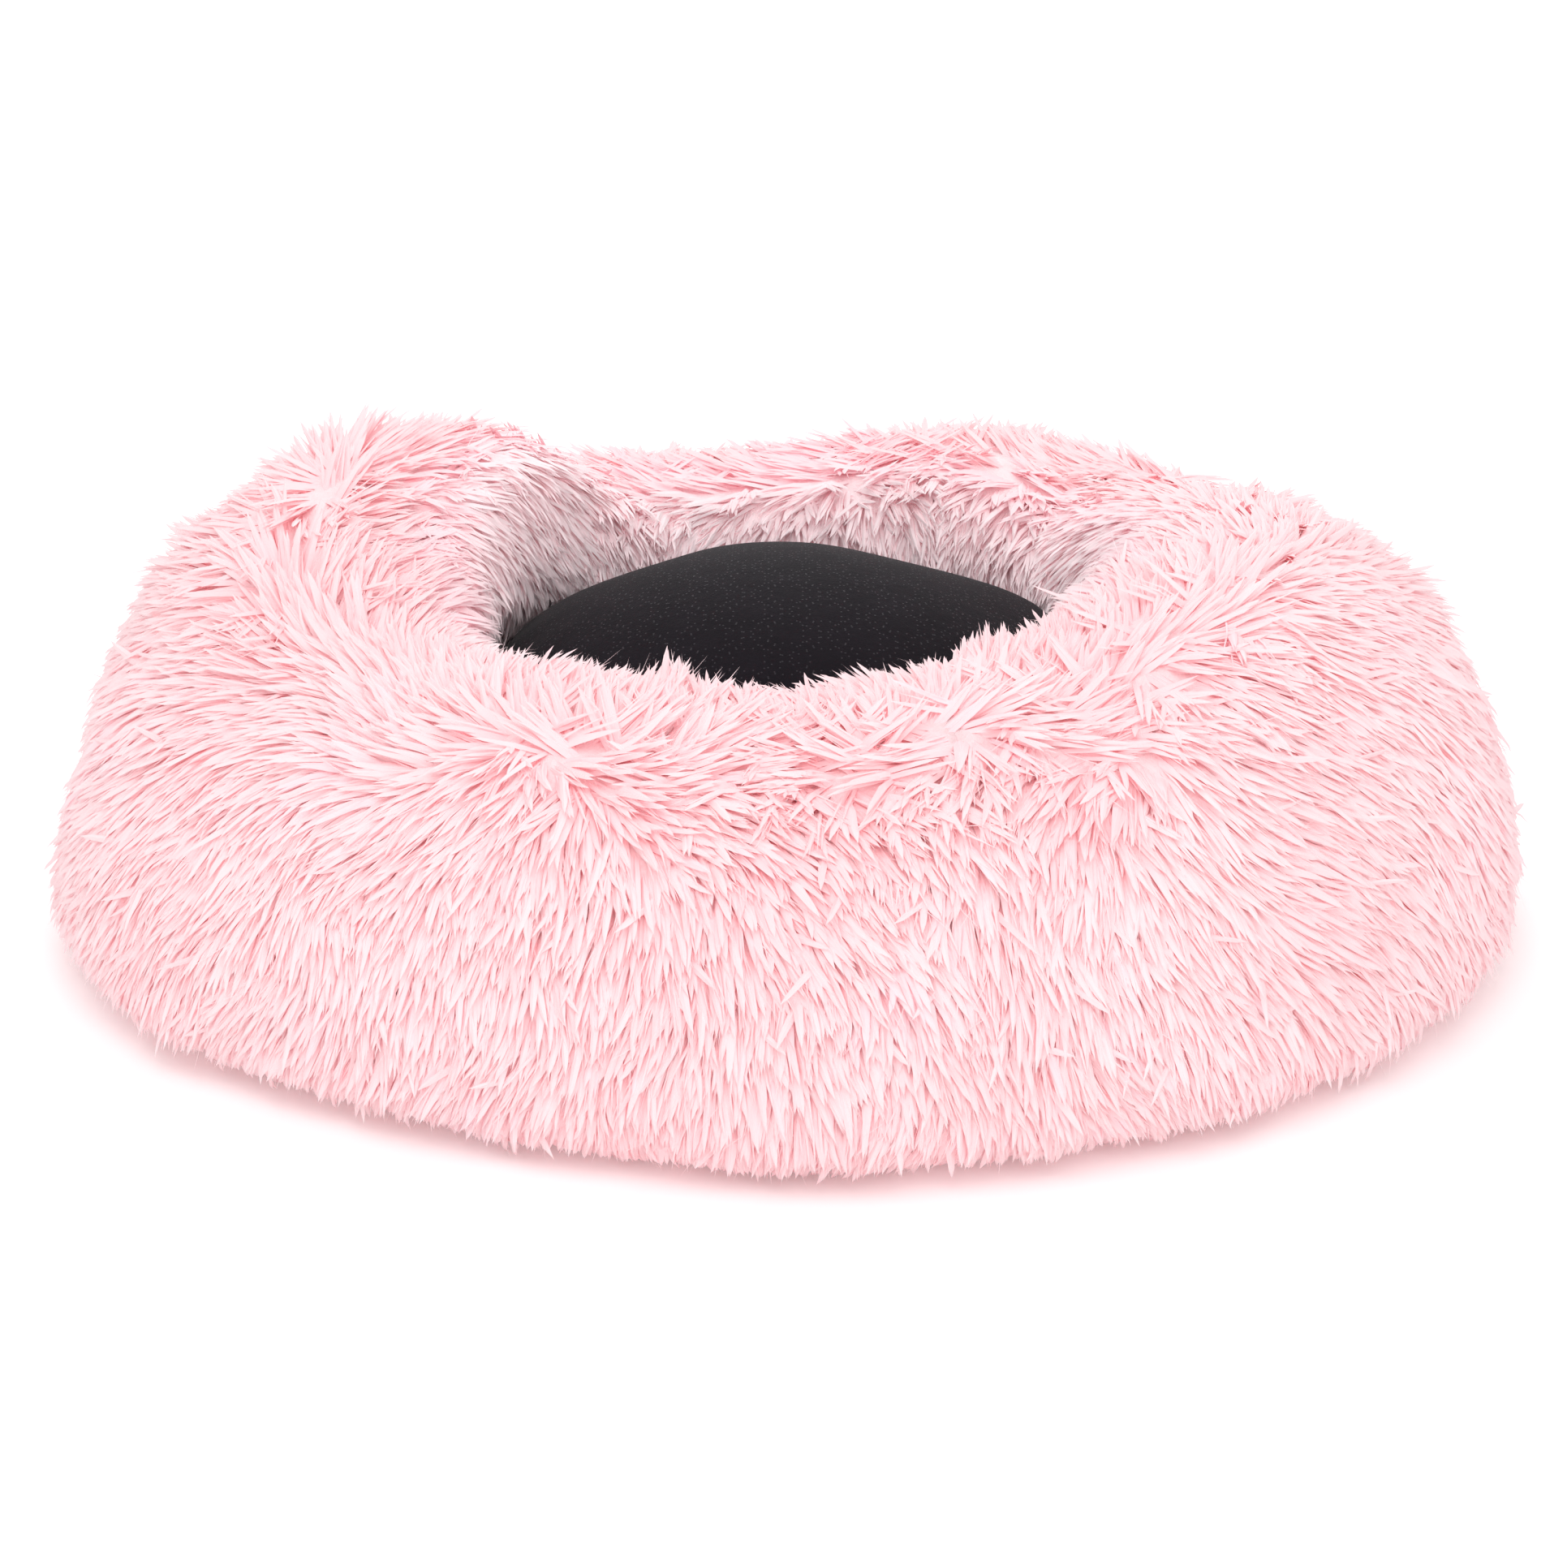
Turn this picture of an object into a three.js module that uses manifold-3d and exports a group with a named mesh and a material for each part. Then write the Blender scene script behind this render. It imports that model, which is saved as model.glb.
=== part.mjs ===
// A round plush pet cushion: a fur ring bolster round a well, with a crowned centre cushion that lifts out.
// Millimetres, +Z up, origin on the floor at the centre, front towards -Y, +X to the right.
// Angles called turn go round the ring from the front towards the right.

import * as THREE from 'three';
import { mergeVertices } from 'three/addons/utils/BufferGeometryUtils.js';
import Module from 'manifold-3d';

const wasm = await Module();
wasm.setup();

// The fur ring, over the mean face of its pile
const ringReach = 300;          // centre to the widest place of the outer wall
const ringHeight = 184;         // floor to the highest place of the crest
const crestRadius = 186;        // centre to the line of the crest
const footRadius = 251;         // centre to the outer edge of what touches the floor
const widestHeight = 21;        // floor to the widest place
const wellRadius = 134;         // centre to the pile of the well's wall
const throatHeight = 74;        // floor to where the well's wall starts to lean outwards
const pileDepth = 20;           // plush with its backing cloth
const seamGap = 0.4;            // between panels that a seam joins
const layGap = 0.3;             // between pieces that lie on each other
const fillGap = 0.8;            // between the ring's filling and its uneven cover

// The outer wall's bulge and the well's mouth, as exponents of their superellipses
const wallBulgeShare = 1.8;
const mouthBulgeShare = 3;

// How far the outer wall reaches and how high the crest stands, every 30 degrees from the front
const reachShares = [0.965, 0.98, 0.995, 1, 0.975, 0.935, 0.925, 0.94, 0.98, 0.995, 0.99, 0.935];
const crestShares = [0.8, 0.87, 0.955, 0.91, 0.825, 0.86, 0.79, 0.795, 0.985, 0.96, 0.78, 0.815];

// How far the crest leans over the well, as shares of the mouth's width, on the same places
const leanShares = [0, 0, 0, 0, 0, 0.04, 0.08, 0.14, 0.24, 0.2, 0.26, 0.14];

// Where the two panels of each wall are sewn together
const outerSeamAngle = 16;
const innerSeamAngle = 100;

// The base
const baseCloth = 2;
const bindingWidth = 8;
const bindingThickness = 2;
const waddingThickness = 26;
const liningThickness = 2;

// The centre cushion
const cushionCrown = 77;        // rim of the upper cloth to the top of the dome
const cushionDraw = 32;         // rim of the lower cloth to the underside
const cushionCloth = 1.5;
const weltThickness = 4;
const cushionClearance = 2.5;   // seam welt to the well's pile
const crownShare = 2;
const undersideShare = 3.4;
const gatherDepth = 2;          // how far each gather draws the cloth in at the seam

// Fineness
const ringSteps = 60;
const gathers = 22;
const cushionSteps = 2 * gathers;
const wallSteps = 8;
const mouthSteps = 6;
const footSteps = 2;
const crownSteps = 7;
const undersideSteps = 5;
const roundSteps = 8;

const baseTop = Math.max(baseCloth, bindingThickness);
const paddingLow = baseTop + layGap;
const liningLow = paddingLow + waddingThickness + layGap;
const cushionBase = liningLow + liningThickness + layGap;
const weltRadius = wellRadius - cushionClearance - weltThickness / 2;
const rimRadius = weltRadius + cushionCloth / 2;
const rimRise = weltThickness / 2 + layGap;
const seamHeight = cushionBase + cushionDraw + rimRise;

const pink = new THREE.Color().setRGB(0.965, 0.79, 0.8, THREE.SRGBColorSpace);
const charcoal = new THREE.Color().setRGB(0.18, 0.165, 0.19, THREE.SRGBColorSpace);
const fibreWhite = new THREE.Color().setRGB(0.92, 0.92, 0.9, THREE.SRGBColorSpace);

const plush = { color: pink, roughness: 0.95, metalness: 0 };
const feltCloth = { color: charcoal, roughness: 0.92, metalness: 0 };
const fibre = { color: fibreWhite, roughness: 1, metalness: 0 };

const group = new THREE.Group();

function addPiece(name, geometry, finish) {
  const mesh = new THREE.Mesh(geometry, new THREE.MeshStandardMaterial(finish));
  mesh.name = name;
  group.add(mesh);
}

// A value between the entries of a table that goes once round the ring
function roundTable(shares, turn) {
  const place = (((turn / 360) % 1) + 1) % 1 * shares.length;
  const first = Math.floor(place);
  const t = place - first;
  const at = (i) => shares[(first + i + shares.length) % shares.length];
  const slopeIn = (at(1) - at(-1)) / 2;
  const slopeOut = (at(2) - at(0)) / 2;
  const rise = at(1) - at(0);
  return at(0) + slopeIn * t + (3 * rise - 2 * slopeIn - slopeOut) * t * t
    + (slopeIn + slopeOut - 2 * rise) * t * t * t;
}

// A quarter of a superellipse from (from.x, from.y) to (to.x, to.y), square to the radius at its start
function quarterArc(from, to, exponent, steps) {
  const points = [];
  for (let i = 0; i <= steps; i++) {
    const angle = (i / steps) * Math.PI / 2;
    const across = 1 - Math.cos(angle) ** (2 / exponent);
    const up = Math.sin(angle) ** (2 / exponent);
    points.push(new THREE.Vector2(
      THREE.MathUtils.lerp(from.x, to.x, across),
      THREE.MathUtils.lerp(from.y, to.y, up),
    ));
  }
  return points;
}

// The ring's section, from the foot round the outer wall to the crest
function outerWall(depth) {
  const widest = new THREE.Vector2(ringReach - depth, widestHeight);
  const crest = new THREE.Vector2(crestRadius, ringHeight - depth);
  const foot = [];
  for (let i = 0; i <= footSteps; i++) {
    const angle = (i / footSteps) * Math.PI / 2;
    foot.push(new THREE.Vector2(
      THREE.MathUtils.lerp(footRadius - depth, widest.x, Math.sin(angle)),
      widestHeight * (1 - Math.cos(angle)),
    ));
  }
  return [...foot, ...quarterArc(widest, crest, wallBulgeShare, wallSteps).slice(1)];
}

// The ring's section, from the well's throat up to the crest
function innerWall(depth) {
  const throat = new THREE.Vector2(wellRadius + depth, throatHeight);
  const crest = new THREE.Vector2(crestRadius, ringHeight - depth);
  return quarterArc(throat, crest, mouthBulgeShare, mouthSteps);
}

// Moves a round ring's points to the uneven reach and height of the sewn one
function settle(geometry) {
  const place = geometry.attributes.position;
  for (let i = 0; i < place.count; i++) {
    const x = place.getX(i);
    const y = place.getY(i);
    const z = place.getZ(i);
    const radius = Math.hypot(x, y);
    const turn = THREE.MathUtils.radToDeg(Math.atan2(x, -y));
    const outwards = THREE.MathUtils.smoothstep(radius, wellRadius + pileDepth, ringReach);
    const mouth = THREE.MathUtils.smoothstep(radius, wellRadius, crestRadius)
      * (1 - THREE.MathUtils.smoothstep(radius, crestRadius, ringReach));
    const lean = roundTable(leanShares, turn) * (crestRadius - wellRadius) * mouth;
    const wide = 1 + (roundTable(reachShares, turn) - 1) * outwards - lean / Math.max(radius, wellRadius);
    const above = Math.max(0, z - widestHeight);
    const tall = 1 + (roundTable(crestShares, turn) - 1) * ringHeight / (ringHeight - widestHeight);
    place.setXYZ(i, x * wide, y * wide, z - above + above * tall);
  }
  return geometry;
}

function revolve(points, steps) {
  return new THREE.LatheGeometry(points, steps).rotateX(Math.PI / 2);
}

function revolveRing(points) {
  return settle(revolve([...points, points[0].clone()], ringSteps));
}

function toSolid(geometry) {
  const bare = geometry.clone();
  bare.deleteAttribute('normal');
  bare.deleteAttribute('uv');
  const merged = mergeVertices(bare);
  return new wasm.Manifold(new wasm.Mesh({
    numProp: 3,
    vertProperties: merged.attributes.position.array,
    triVerts: merged.index.array,
  }));
}

function toGeometry(solid) {
  const mesh = solid.getMesh();
  const geometry = new THREE.BufferGeometry();
  geometry.setAttribute('position', new THREE.BufferAttribute(mesh.vertProperties, 3));
  geometry.setIndex(new THREE.BufferAttribute(mesh.triVerts, 1));
  geometry.computeVertexNormals();
  return geometry;
}

// Half of a ring, on the side that faces away from the seam's plane
function halfRing(geometry, seamAngle, side) {
  const reach = 2 * ringReach;
  const block = new THREE.BoxGeometry(reach, 2 * reach, reach);
  block.translate(-side * (reach - seamGap) / 2, 0, 0);
  block.rotateZ(THREE.MathUtils.degToRad(seamAngle));
  return toGeometry(toSolid(geometry).subtract(toSolid(block)));
}

function disc(radius, low, thickness) {
  return revolve([
    new THREE.Vector2(0, low),
    new THREE.Vector2(radius, low),
    new THREE.Vector2(radius, low + thickness),
    new THREE.Vector2(0, low + thickness),
  ], ringSteps);
}

// Plush of the outer wall: its pile's face outside and its backing cloth inside
function outerFurRing() {
  const face = outerWall(0);
  const back = outerWall(pileDepth).reverse();
  face[face.length - 1].x += seamGap;
  back[0].x += seamGap;
  return revolveRing([...face, ...back]);
}

// Plush of the inner wall: down from the crest to the base
function innerFurRing() {
  return revolveRing([
    ...innerWall(0).reverse(),
    new THREE.Vector2(wellRadius, paddingLow),
    new THREE.Vector2(wellRadius + pileDepth, paddingLow),
    ...innerWall(pileDepth),
  ]);
}

function ringFill() {
  const depth = pileDepth + fillGap;
  const outside = outerWall(depth);
  outside[0].y = paddingLow;
  const inside = innerWall(depth).reverse().slice(1);
  return revolveRing([...outside, ...inside, new THREE.Vector2(wellRadius + depth, paddingLow)]);
}

const bindingRadius = footRadius - pileDepth - layGap;

function baseBinding() {
  const inner = bindingRadius - bindingWidth;
  return revolveRing([
    new THREE.Vector2(inner, 0),
    new THREE.Vector2(bindingRadius, 0),
    new THREE.Vector2(bindingRadius, bindingThickness),
    new THREE.Vector2(inner, bindingThickness),
  ]);
}

// Draws a cushion's cloth in at the seam, less and less towards its faces
function gather(geometry) {
  const place = geometry.attributes.position;
  for (let i = 0; i < place.count; i++) {
    const x = place.getX(i);
    const y = place.getY(i);
    const radius = Math.hypot(x, y);
    const wave = (1 + Math.cos(gathers * Math.atan2(x, -y))) / 2;
    const near = THREE.MathUtils.smoothstep(radius, rimRadius / 2, rimRadius);
    const drawn = 1 - gatherDepth * wave * near / rimRadius;
    place.setXYZ(i, x * drawn, y * drawn, place.getZ(i));
  }
  return geometry;
}

// The cushion's upper face, crowned, from its rim to the top of the dome
function crownLine(rim, inset) {
  const start = new THREE.Vector2(rim, seamHeight + rimRise);
  const top = new THREE.Vector2(0, seamHeight + rimRise + cushionCrown - inset);
  return quarterArc(start, top, crownShare, crownSteps);
}

// The cushion's lower face, which lies flat in the well
function undersideLine(rim, inset) {
  const start = new THREE.Vector2(rim, seamHeight - rimRise);
  const bottom = new THREE.Vector2(0, cushionBase + inset);
  return quarterArc(start, bottom, undersideShare, undersideSteps);
}

function cushionTop() {
  const face = crownLine(rimRadius, 0);
  const back = crownLine(rimRadius - cushionCloth, cushionCloth).reverse();
  return gather(revolve([...back, ...face], cushionSteps));
}

function cushionBottom() {
  const face = undersideLine(rimRadius, 0).reverse();
  const back = undersideLine(rimRadius - cushionCloth, cushionCloth);
  return gather(revolve([...face, ...back], cushionSteps));
}

function cushionFill() {
  const inset = cushionCloth + layGap;
  const rim = weltRadius - weltThickness / 2 - layGap;
  const under = undersideLine(rim, inset).reverse();
  return gather(revolve([...under, ...crownLine(rim, inset)], cushionSteps));
}

function cushionWelt() {
  const ring = [];
  for (let i = 0; i <= roundSteps; i++) {
    const angle = (i % roundSteps) / roundSteps * 2 * Math.PI;
    ring.push(new THREE.Vector2(
      weltRadius + weltThickness / 2 * Math.cos(angle),
      seamHeight + weltThickness / 2 * Math.sin(angle),
    ));
  }
  return revolve(ring, cushionSteps);
}

function makeRing() {
  const outer = outerFurRing();
  const inner = innerFurRing();
  addPiece('outer_fur_panel_left', halfRing(outer, outerSeamAngle, -1), plush);
  addPiece('outer_fur_panel_right', halfRing(outer, outerSeamAngle, 1), plush);
  addPiece('inner_fur_panel_front', halfRing(inner, innerSeamAngle, -1), plush);
  addPiece('inner_fur_panel_back', halfRing(inner, innerSeamAngle, 1), plush);
  addPiece('ring_fill', ringFill(), fibre);
}

function makeBase() {
  const panelRadius = bindingRadius - bindingWidth - layGap;
  const wellFloor = wellRadius - layGap;
  addPiece('base_panel', settle(disc(panelRadius, 0, baseCloth)), feltCloth);
  addPiece('base_binding', baseBinding(), feltCloth);
  addPiece('base_wadding', disc(wellFloor, paddingLow, waddingThickness), fibre);
  addPiece('well_floor_lining', disc(wellFloor, liningLow, liningThickness), feltCloth);
}

function makeCushion() {
  addPiece('cushion_top_cloth', cushionTop(), feltCloth);
  addPiece('cushion_bottom_cloth', cushionBottom(), feltCloth);
  addPiece('cushion_fill', cushionFill(), fibre);
  addPiece('cushion_seam_welt', cushionWelt(), feltCloth);
}

makeRing();
makeBase();
makeCushion();

// The outline is uneven, so the origin goes to the middle of its box
const middle = new THREE.Box3().setFromObject(group).getCenter(new THREE.Vector3());
group.position.set(-middle.x, -middle.y, 0);

export default group;
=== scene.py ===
"""Looks of a round plush pet bed: a fur ring bolster with a dark dotted cushion that lifts out."""

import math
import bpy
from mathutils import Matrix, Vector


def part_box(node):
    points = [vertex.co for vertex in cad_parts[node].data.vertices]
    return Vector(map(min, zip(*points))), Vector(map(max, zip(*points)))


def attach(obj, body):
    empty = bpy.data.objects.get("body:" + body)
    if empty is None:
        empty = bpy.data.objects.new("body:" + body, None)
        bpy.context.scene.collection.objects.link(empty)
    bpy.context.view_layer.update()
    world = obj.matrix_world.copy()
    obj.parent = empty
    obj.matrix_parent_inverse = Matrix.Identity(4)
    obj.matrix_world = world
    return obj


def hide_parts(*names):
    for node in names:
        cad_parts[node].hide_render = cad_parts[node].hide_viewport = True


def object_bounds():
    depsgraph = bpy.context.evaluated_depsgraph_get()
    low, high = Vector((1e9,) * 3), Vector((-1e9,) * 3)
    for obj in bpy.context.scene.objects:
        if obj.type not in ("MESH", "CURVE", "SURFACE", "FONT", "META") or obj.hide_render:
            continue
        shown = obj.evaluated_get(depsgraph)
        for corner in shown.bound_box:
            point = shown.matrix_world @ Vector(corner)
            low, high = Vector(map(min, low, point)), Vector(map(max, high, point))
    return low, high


bl_info = {
    "name": "Plush Ring Pet Bed",
    "version": (1, 0, 0),
    "blender": (4, 5, 0),
    "location": "3D View > Sidebar > Pet Bed",
    "description": "Dresses a ring bed in long-pile plush and its cushion in dotted anti-slip cloth",
    "category": "Object",
}

import bmesh
import bpy
import numpy as np
from bpy.props import FloatProperty, FloatVectorProperty, IntProperty, PointerProperty
from mathutils import Color, Matrix, Vector

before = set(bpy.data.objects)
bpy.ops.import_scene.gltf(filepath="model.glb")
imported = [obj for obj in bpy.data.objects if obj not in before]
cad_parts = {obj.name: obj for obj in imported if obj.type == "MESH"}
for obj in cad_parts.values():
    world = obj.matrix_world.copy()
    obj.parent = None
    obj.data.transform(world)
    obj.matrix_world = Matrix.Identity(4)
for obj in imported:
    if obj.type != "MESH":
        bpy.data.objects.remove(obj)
CAD_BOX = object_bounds()

# Tables go once round the ring in even steps from the front towards the right, as shares
REACH_SHARES = (0.965, 0.98, 0.995, 1, 0.975, 0.935, 0.925, 0.94, 0.98, 0.995, 0.99, 0.935)
CREST_SHARES = (0.79, 0.86, 0.965, 0.925, 0.83, 0.86, 0.79, 0.795, 0.985, 0.97, 0.775, 0.79)
LEAN_SHARES = (0, 0, 0, 0, 0, 0.04, 0.08, 0.14, 0.24, 0.2, 0.26, 0.14)

# How far the soft roll bulges over the cushion, and the height from which it does so fully, in metres
OVERHANG = (0.001, 0.002, 0.01, 0.02, 0.026, 0.029, 0.03, 0.03, 0.03, 0.029, 0.009, 0.0)
OVERHANG_HEIGHT = (0.12, 0.12, 0.12, 0.12, 0.12, 0.12, 0.12, 0.12, 0.122, 0.145, 0.13, 0.12)

# Radii between which the bulge fades out towards the crest, and the height at which it starts
BULGE_RADII, BULGE_START = (0.16, 0.196), 0.08

# Lumps of the filling: size, share and random seed, and the heights and radii over which they fade in
LUMPS = ((0.15, 0.7, 3), (0.07, 0.4, 5))
LUMP_HEIGHTS, LUMP_RADII = (0.01, 0.06), (0.154, 0.19)

# Exponents of the superellipses of the outer wall, the well's mouth and the cushion's underside
WALL_BULGE_SHARE = 1.84
MOUTH_BULGE_SHARE = 3
UNDERSIDE_SHARE = 3.4

# Height under which the cushion hides the pile of the well, and height of the tallest tips
PILE_FLOOR, PILE_TOP = 0.06, 0.1985

# Centre to the middle of the ring's body
RING_MIDDLE = 0.2

# Lowest root of the pile above the well's floor, and the share of roots kept where the cushion hides them
ROOT_CLEARANCE, HIDDEN_SHARE = 0.036, 0.45

# How much is taken off the corners of cut edges
EDGE_EASE, TAPE_EASE = 0.0004, 0.0005

# Between neighbouring pieces, and round the binding and under the lowest tips
CLEAR_GAP, HAIR_GAP = 0.0006, 0.0003

# Binding: its width, and how far inside it the base cloth ends
BINDING_WIDTH, BASE_INSET = 0.008, 0.0086

# Stitches of the binding: their thread's radius, half their length, their pitch and their row's inset
THREAD_RADIUS, STITCH_HALF, STITCH_PITCH, STITCH_INSET = 0.0003, 0.0013, 0.0042, 0.002

# Wadding: the bulge of its edge as a share of half its thickness, and depth, size and seed of its dips
WADDING_EDGE, WADDING_DIP, DIP_SIZE, DIP_SEED = 0.6, 0.0012, 0.06, 21

# Threads per metre of the tape, the lining and the sewing thread
TAPE_THREADS, LINING_THREADS, SEWING_THREADS = 1400.0, 1800.0, 4000.0

# How far the filling may push the cushion's cloth, in how many frames, and how much the cloth may stretch
SWELL_CAP, SWELL_FRAMES, STRETCH = 0.006, 20, 0.03

# Ease with which the cushion rests on the lining, its play at the rim, and how far its seam's cord stands out
REST_EASE, RIM_PLAY, WELT_OUT = 0.0015, 0.0002, 0.00125

# Circles of grip dots: shifts to the right and up, radius, and number of dots, in squares of the pattern
DOT_CIRCLES = ((0, 0, 0.44, 23), (0.5, 0.5, 0.44, 23), (0.5, 0, 0.3, 16), (0, 0.5, 0.3, 16))

# Radius of a grip dot, in squares of the pattern
DOT_RADIUS = 0.013

# Height of the crown's nearly flat top, and how much cloth the drop below it takes up
FLAT_CROWN, DROP_SHARE = 0.01, math.sqrt(2.3)

# Hollows in the dome, and lumps where the depth is below 0: place across the bed, reach and depth, in metres
DENTS = ((-0.066, 0.062, 0.024, 0.004), (0.052, 0.064, 0.03, 0.003), (0.112, 0.035, 0.03, -0.006))


def metres(name, default, description):
    return FloatProperty(name=name, description=description, default=default, unit="LENGTH")


def degrees(name, default, description):
    return FloatProperty(name=name, description=description, default=math.radians(default), subtype="ANGLE")


def plain(name, default, description):
    return FloatProperty(name=name, description=description, default=default)


def whole(name, default, description):
    return IntProperty(name=name, description=description, default=default, min=1)


def shade(name, default, description):
    return FloatVectorProperty(name=name, description=description, default=default, subtype="COLOR_GAMMA",
                               min=0, max=1)


class PetBedRing(bpy.types.PropertyGroup):
    """Sizes of the fur ring."""

    reach: metres("Reach", 0.3, "Centre to the widest place of the outer wall")
    height: metres("Height", CAD_BOX[1][2], "Floor to the highest place of the crest")
    crest_radius: metres("Crest Radius", 0.186, "Centre to the line of the crest")
    foot_radius: metres("Foot Radius", 0.251, "Centre to the edge of what touches the floor")
    widest_height: metres("Widest Height", 0.021, "Floor to the widest place")
    well_radius: metres("Well Radius", 0.134, "Centre to the pile of the well's wall")
    throat_height: metres("Throat Height", 0.074, "Floor to where the well starts to widen")
    pile_depth: metres("Pile Depth", 0.02, "Backing cloth to the mean face of the pile")
    swell: metres("Swell", 0.0025, "Height of the lumps of the filling")
    outer_seam: degrees("Outer Seam", 16, "Turn from the front to the outer wall's seam")
    inner_seam: degrees("Inner Seam", 100, "Turn from the front to the inner wall's seam")


class PetBedPile(bpy.types.PropertyGroup):
    """Sizes and colours of the plush pile."""

    spacing: metres("Spacing", 0.0052, "Between the roots of the pile's tufts")
    under_depth: metres("Under-Pile Depth", 0.005, "Dense short under-pile to the pile's face")
    length: metres("Length", 0.026, "Mean length of a lock above the under-pile")
    lock_width: metres("Lock Width", 0.0036, "Mean width of a lock at its middle")
    fibre_width: metres("Fibre Width", 0.0013, "Mean width of a thin strand")
    locks: whole("Locks", 3, "Flat locks in a tuft")
    fibres: whole("Fibres", 3, "Thin strands in a tuft")
    root_angle: degrees("Root Angle", 21, "How steeply a lock leaves the backing")
    tip_angle: degrees("Tip Angle", 5, "How far a combed lock's tip stands off the surface")
    tip_colour: shade("Tip", (1.0, 0.914, 0.922), "Colour of the pile's tips")
    # Painted shade: the roots are a little deeper than the tips, for the shade down in the pile
    root_shade_colour: shade("Root", (1.0, 0.904, 0.914), "Colour down in the pile")
    # Painted light: the pile in the well is painted paler, for the light that real strands let through
    well_light_colour: shade("Well", (1.0, 0.945, 0.953),
                       "Paler colour of the pile in the well, for the light that real strands let through")
    seed: whole("Seed", 11, "Which random fall of the pile")


class PetBedCushion(bpy.types.PropertyGroup):
    """Sizes and colours of the lift-out cushion and of the bed's dark cloth."""

    rim_radius: metres("Rim Radius", 0.13025, "Centre to the cushion's seam")
    seam_height: metres("Seam Height", sum(p.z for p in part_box("cushion_seam_welt")) / 2,
                        "Floor to the cushion's seam")
    crown_top: metres("Crown Top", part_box("cushion_top_cloth")[1].z, "Floor to the top of the dome")
    base_height: metres("Base Height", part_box("cushion_bottom_cloth")[0].z,
                        "Floor to the cushion's underside")
    cloth: metres("Cloth", 0.0015, "Thickness of the cushion's cloth")
    welt: metres("Welt", 0.004, "Thickness of the seam's cord")
    gathers: whole("Gathers", 22, "Puckers round the cushion's seam")
    gather_depth: metres("Gather Depth", 0.002, "How far a pucker draws the cloth in")
    slack: metres("Slack", 0.003, "How much smaller the cushion starts than it swells")
    voxel: metres("Voxel", 0.005, "Grid of the cushion's mesh")
    pressure: plain("Pressure", 4, "Pressure of the filling on the cloth")
    cloth_colour: shade("Cloth", (0.092, 0.076, 0.098), "Colour of the dark cloth")
    dot_colour: shade("Dots", (0.2, 0.185, 0.21), "Colour of the grip dots")
    dot_pitch: metres("Dot Pitch", 0.03, "Between the circles of grip dots")


class PetBedStage(bpy.types.PropertyGroup):
    """The camera, the floor and the lamps."""

    elevation: degrees("Elevation", 19.5, "Camera above level")
    distance: metres("Distance", 1.452, "Camera to the point it looks at")
    aim: FloatVectorProperty(name="Aim", description="The point it looks at", subtype="TRANSLATION",
                             unit="LENGTH", default=(-0.0015, 0.003, 0.0499))
    lens: plain("Lens", 80.8, "Focal length in millimetres")
    world: plain("World", 0.81, "Strength of the soft light from all round")
    key: plain("Key", 5.7, "Power of the large lamp overhead, in watts")
    fill: plain("Fill", 6.95, "Power of the broad lamps before and behind, in watts")


def round_table(shares, turn):
    """A smooth value between the entries of a table that goes once round the ring."""
    table = np.asarray(shares, float)
    place = np.mod(turn / (2 * np.pi), 1) * len(table)
    first = np.floor(place).astype(int)
    t = place - first
    before, here, after, beyond = (table[(first + i) % len(table)] for i in (-1, 0, 1, 2))
    slope_in = (after - before) / 2
    slope_out = (beyond - here) / 2
    rise = after - here
    return (here + slope_in * t + (3 * rise - 2 * slope_in - slope_out) * t**2
            + (slope_in + slope_out - 2 * rise) * t**3)


def smoothstep(value, low, high):
    t = np.clip((value - low) / (high - low), 0, 1)
    return t * t * (3 - 2 * t)


def unit(vectors):
    return vectors / np.maximum(np.linalg.norm(vectors, axis=-1, keepdims=True), 1e-9)


def wander(points, size, seed, waves=7):
    """A smooth random value, mostly from -1 to 1, at each point, with swells of the given size."""
    rng = np.random.default_rng(seed)
    directions = unit(rng.normal(size=(waves, 3))) * rng.uniform(0.6, 1.4, (waves, 1))
    phases = rng.uniform(0, 2 * np.pi, waves)
    swing = np.sin(points @ directions.T * (2 * np.pi / size) + phases).sum(-1)
    return swing / (1.4 * math.sqrt(waves / 2))


def well_centre():
    low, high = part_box("well_floor_lining")
    return (low.x + high.x) / 2, (low.y + high.y) / 2


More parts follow.
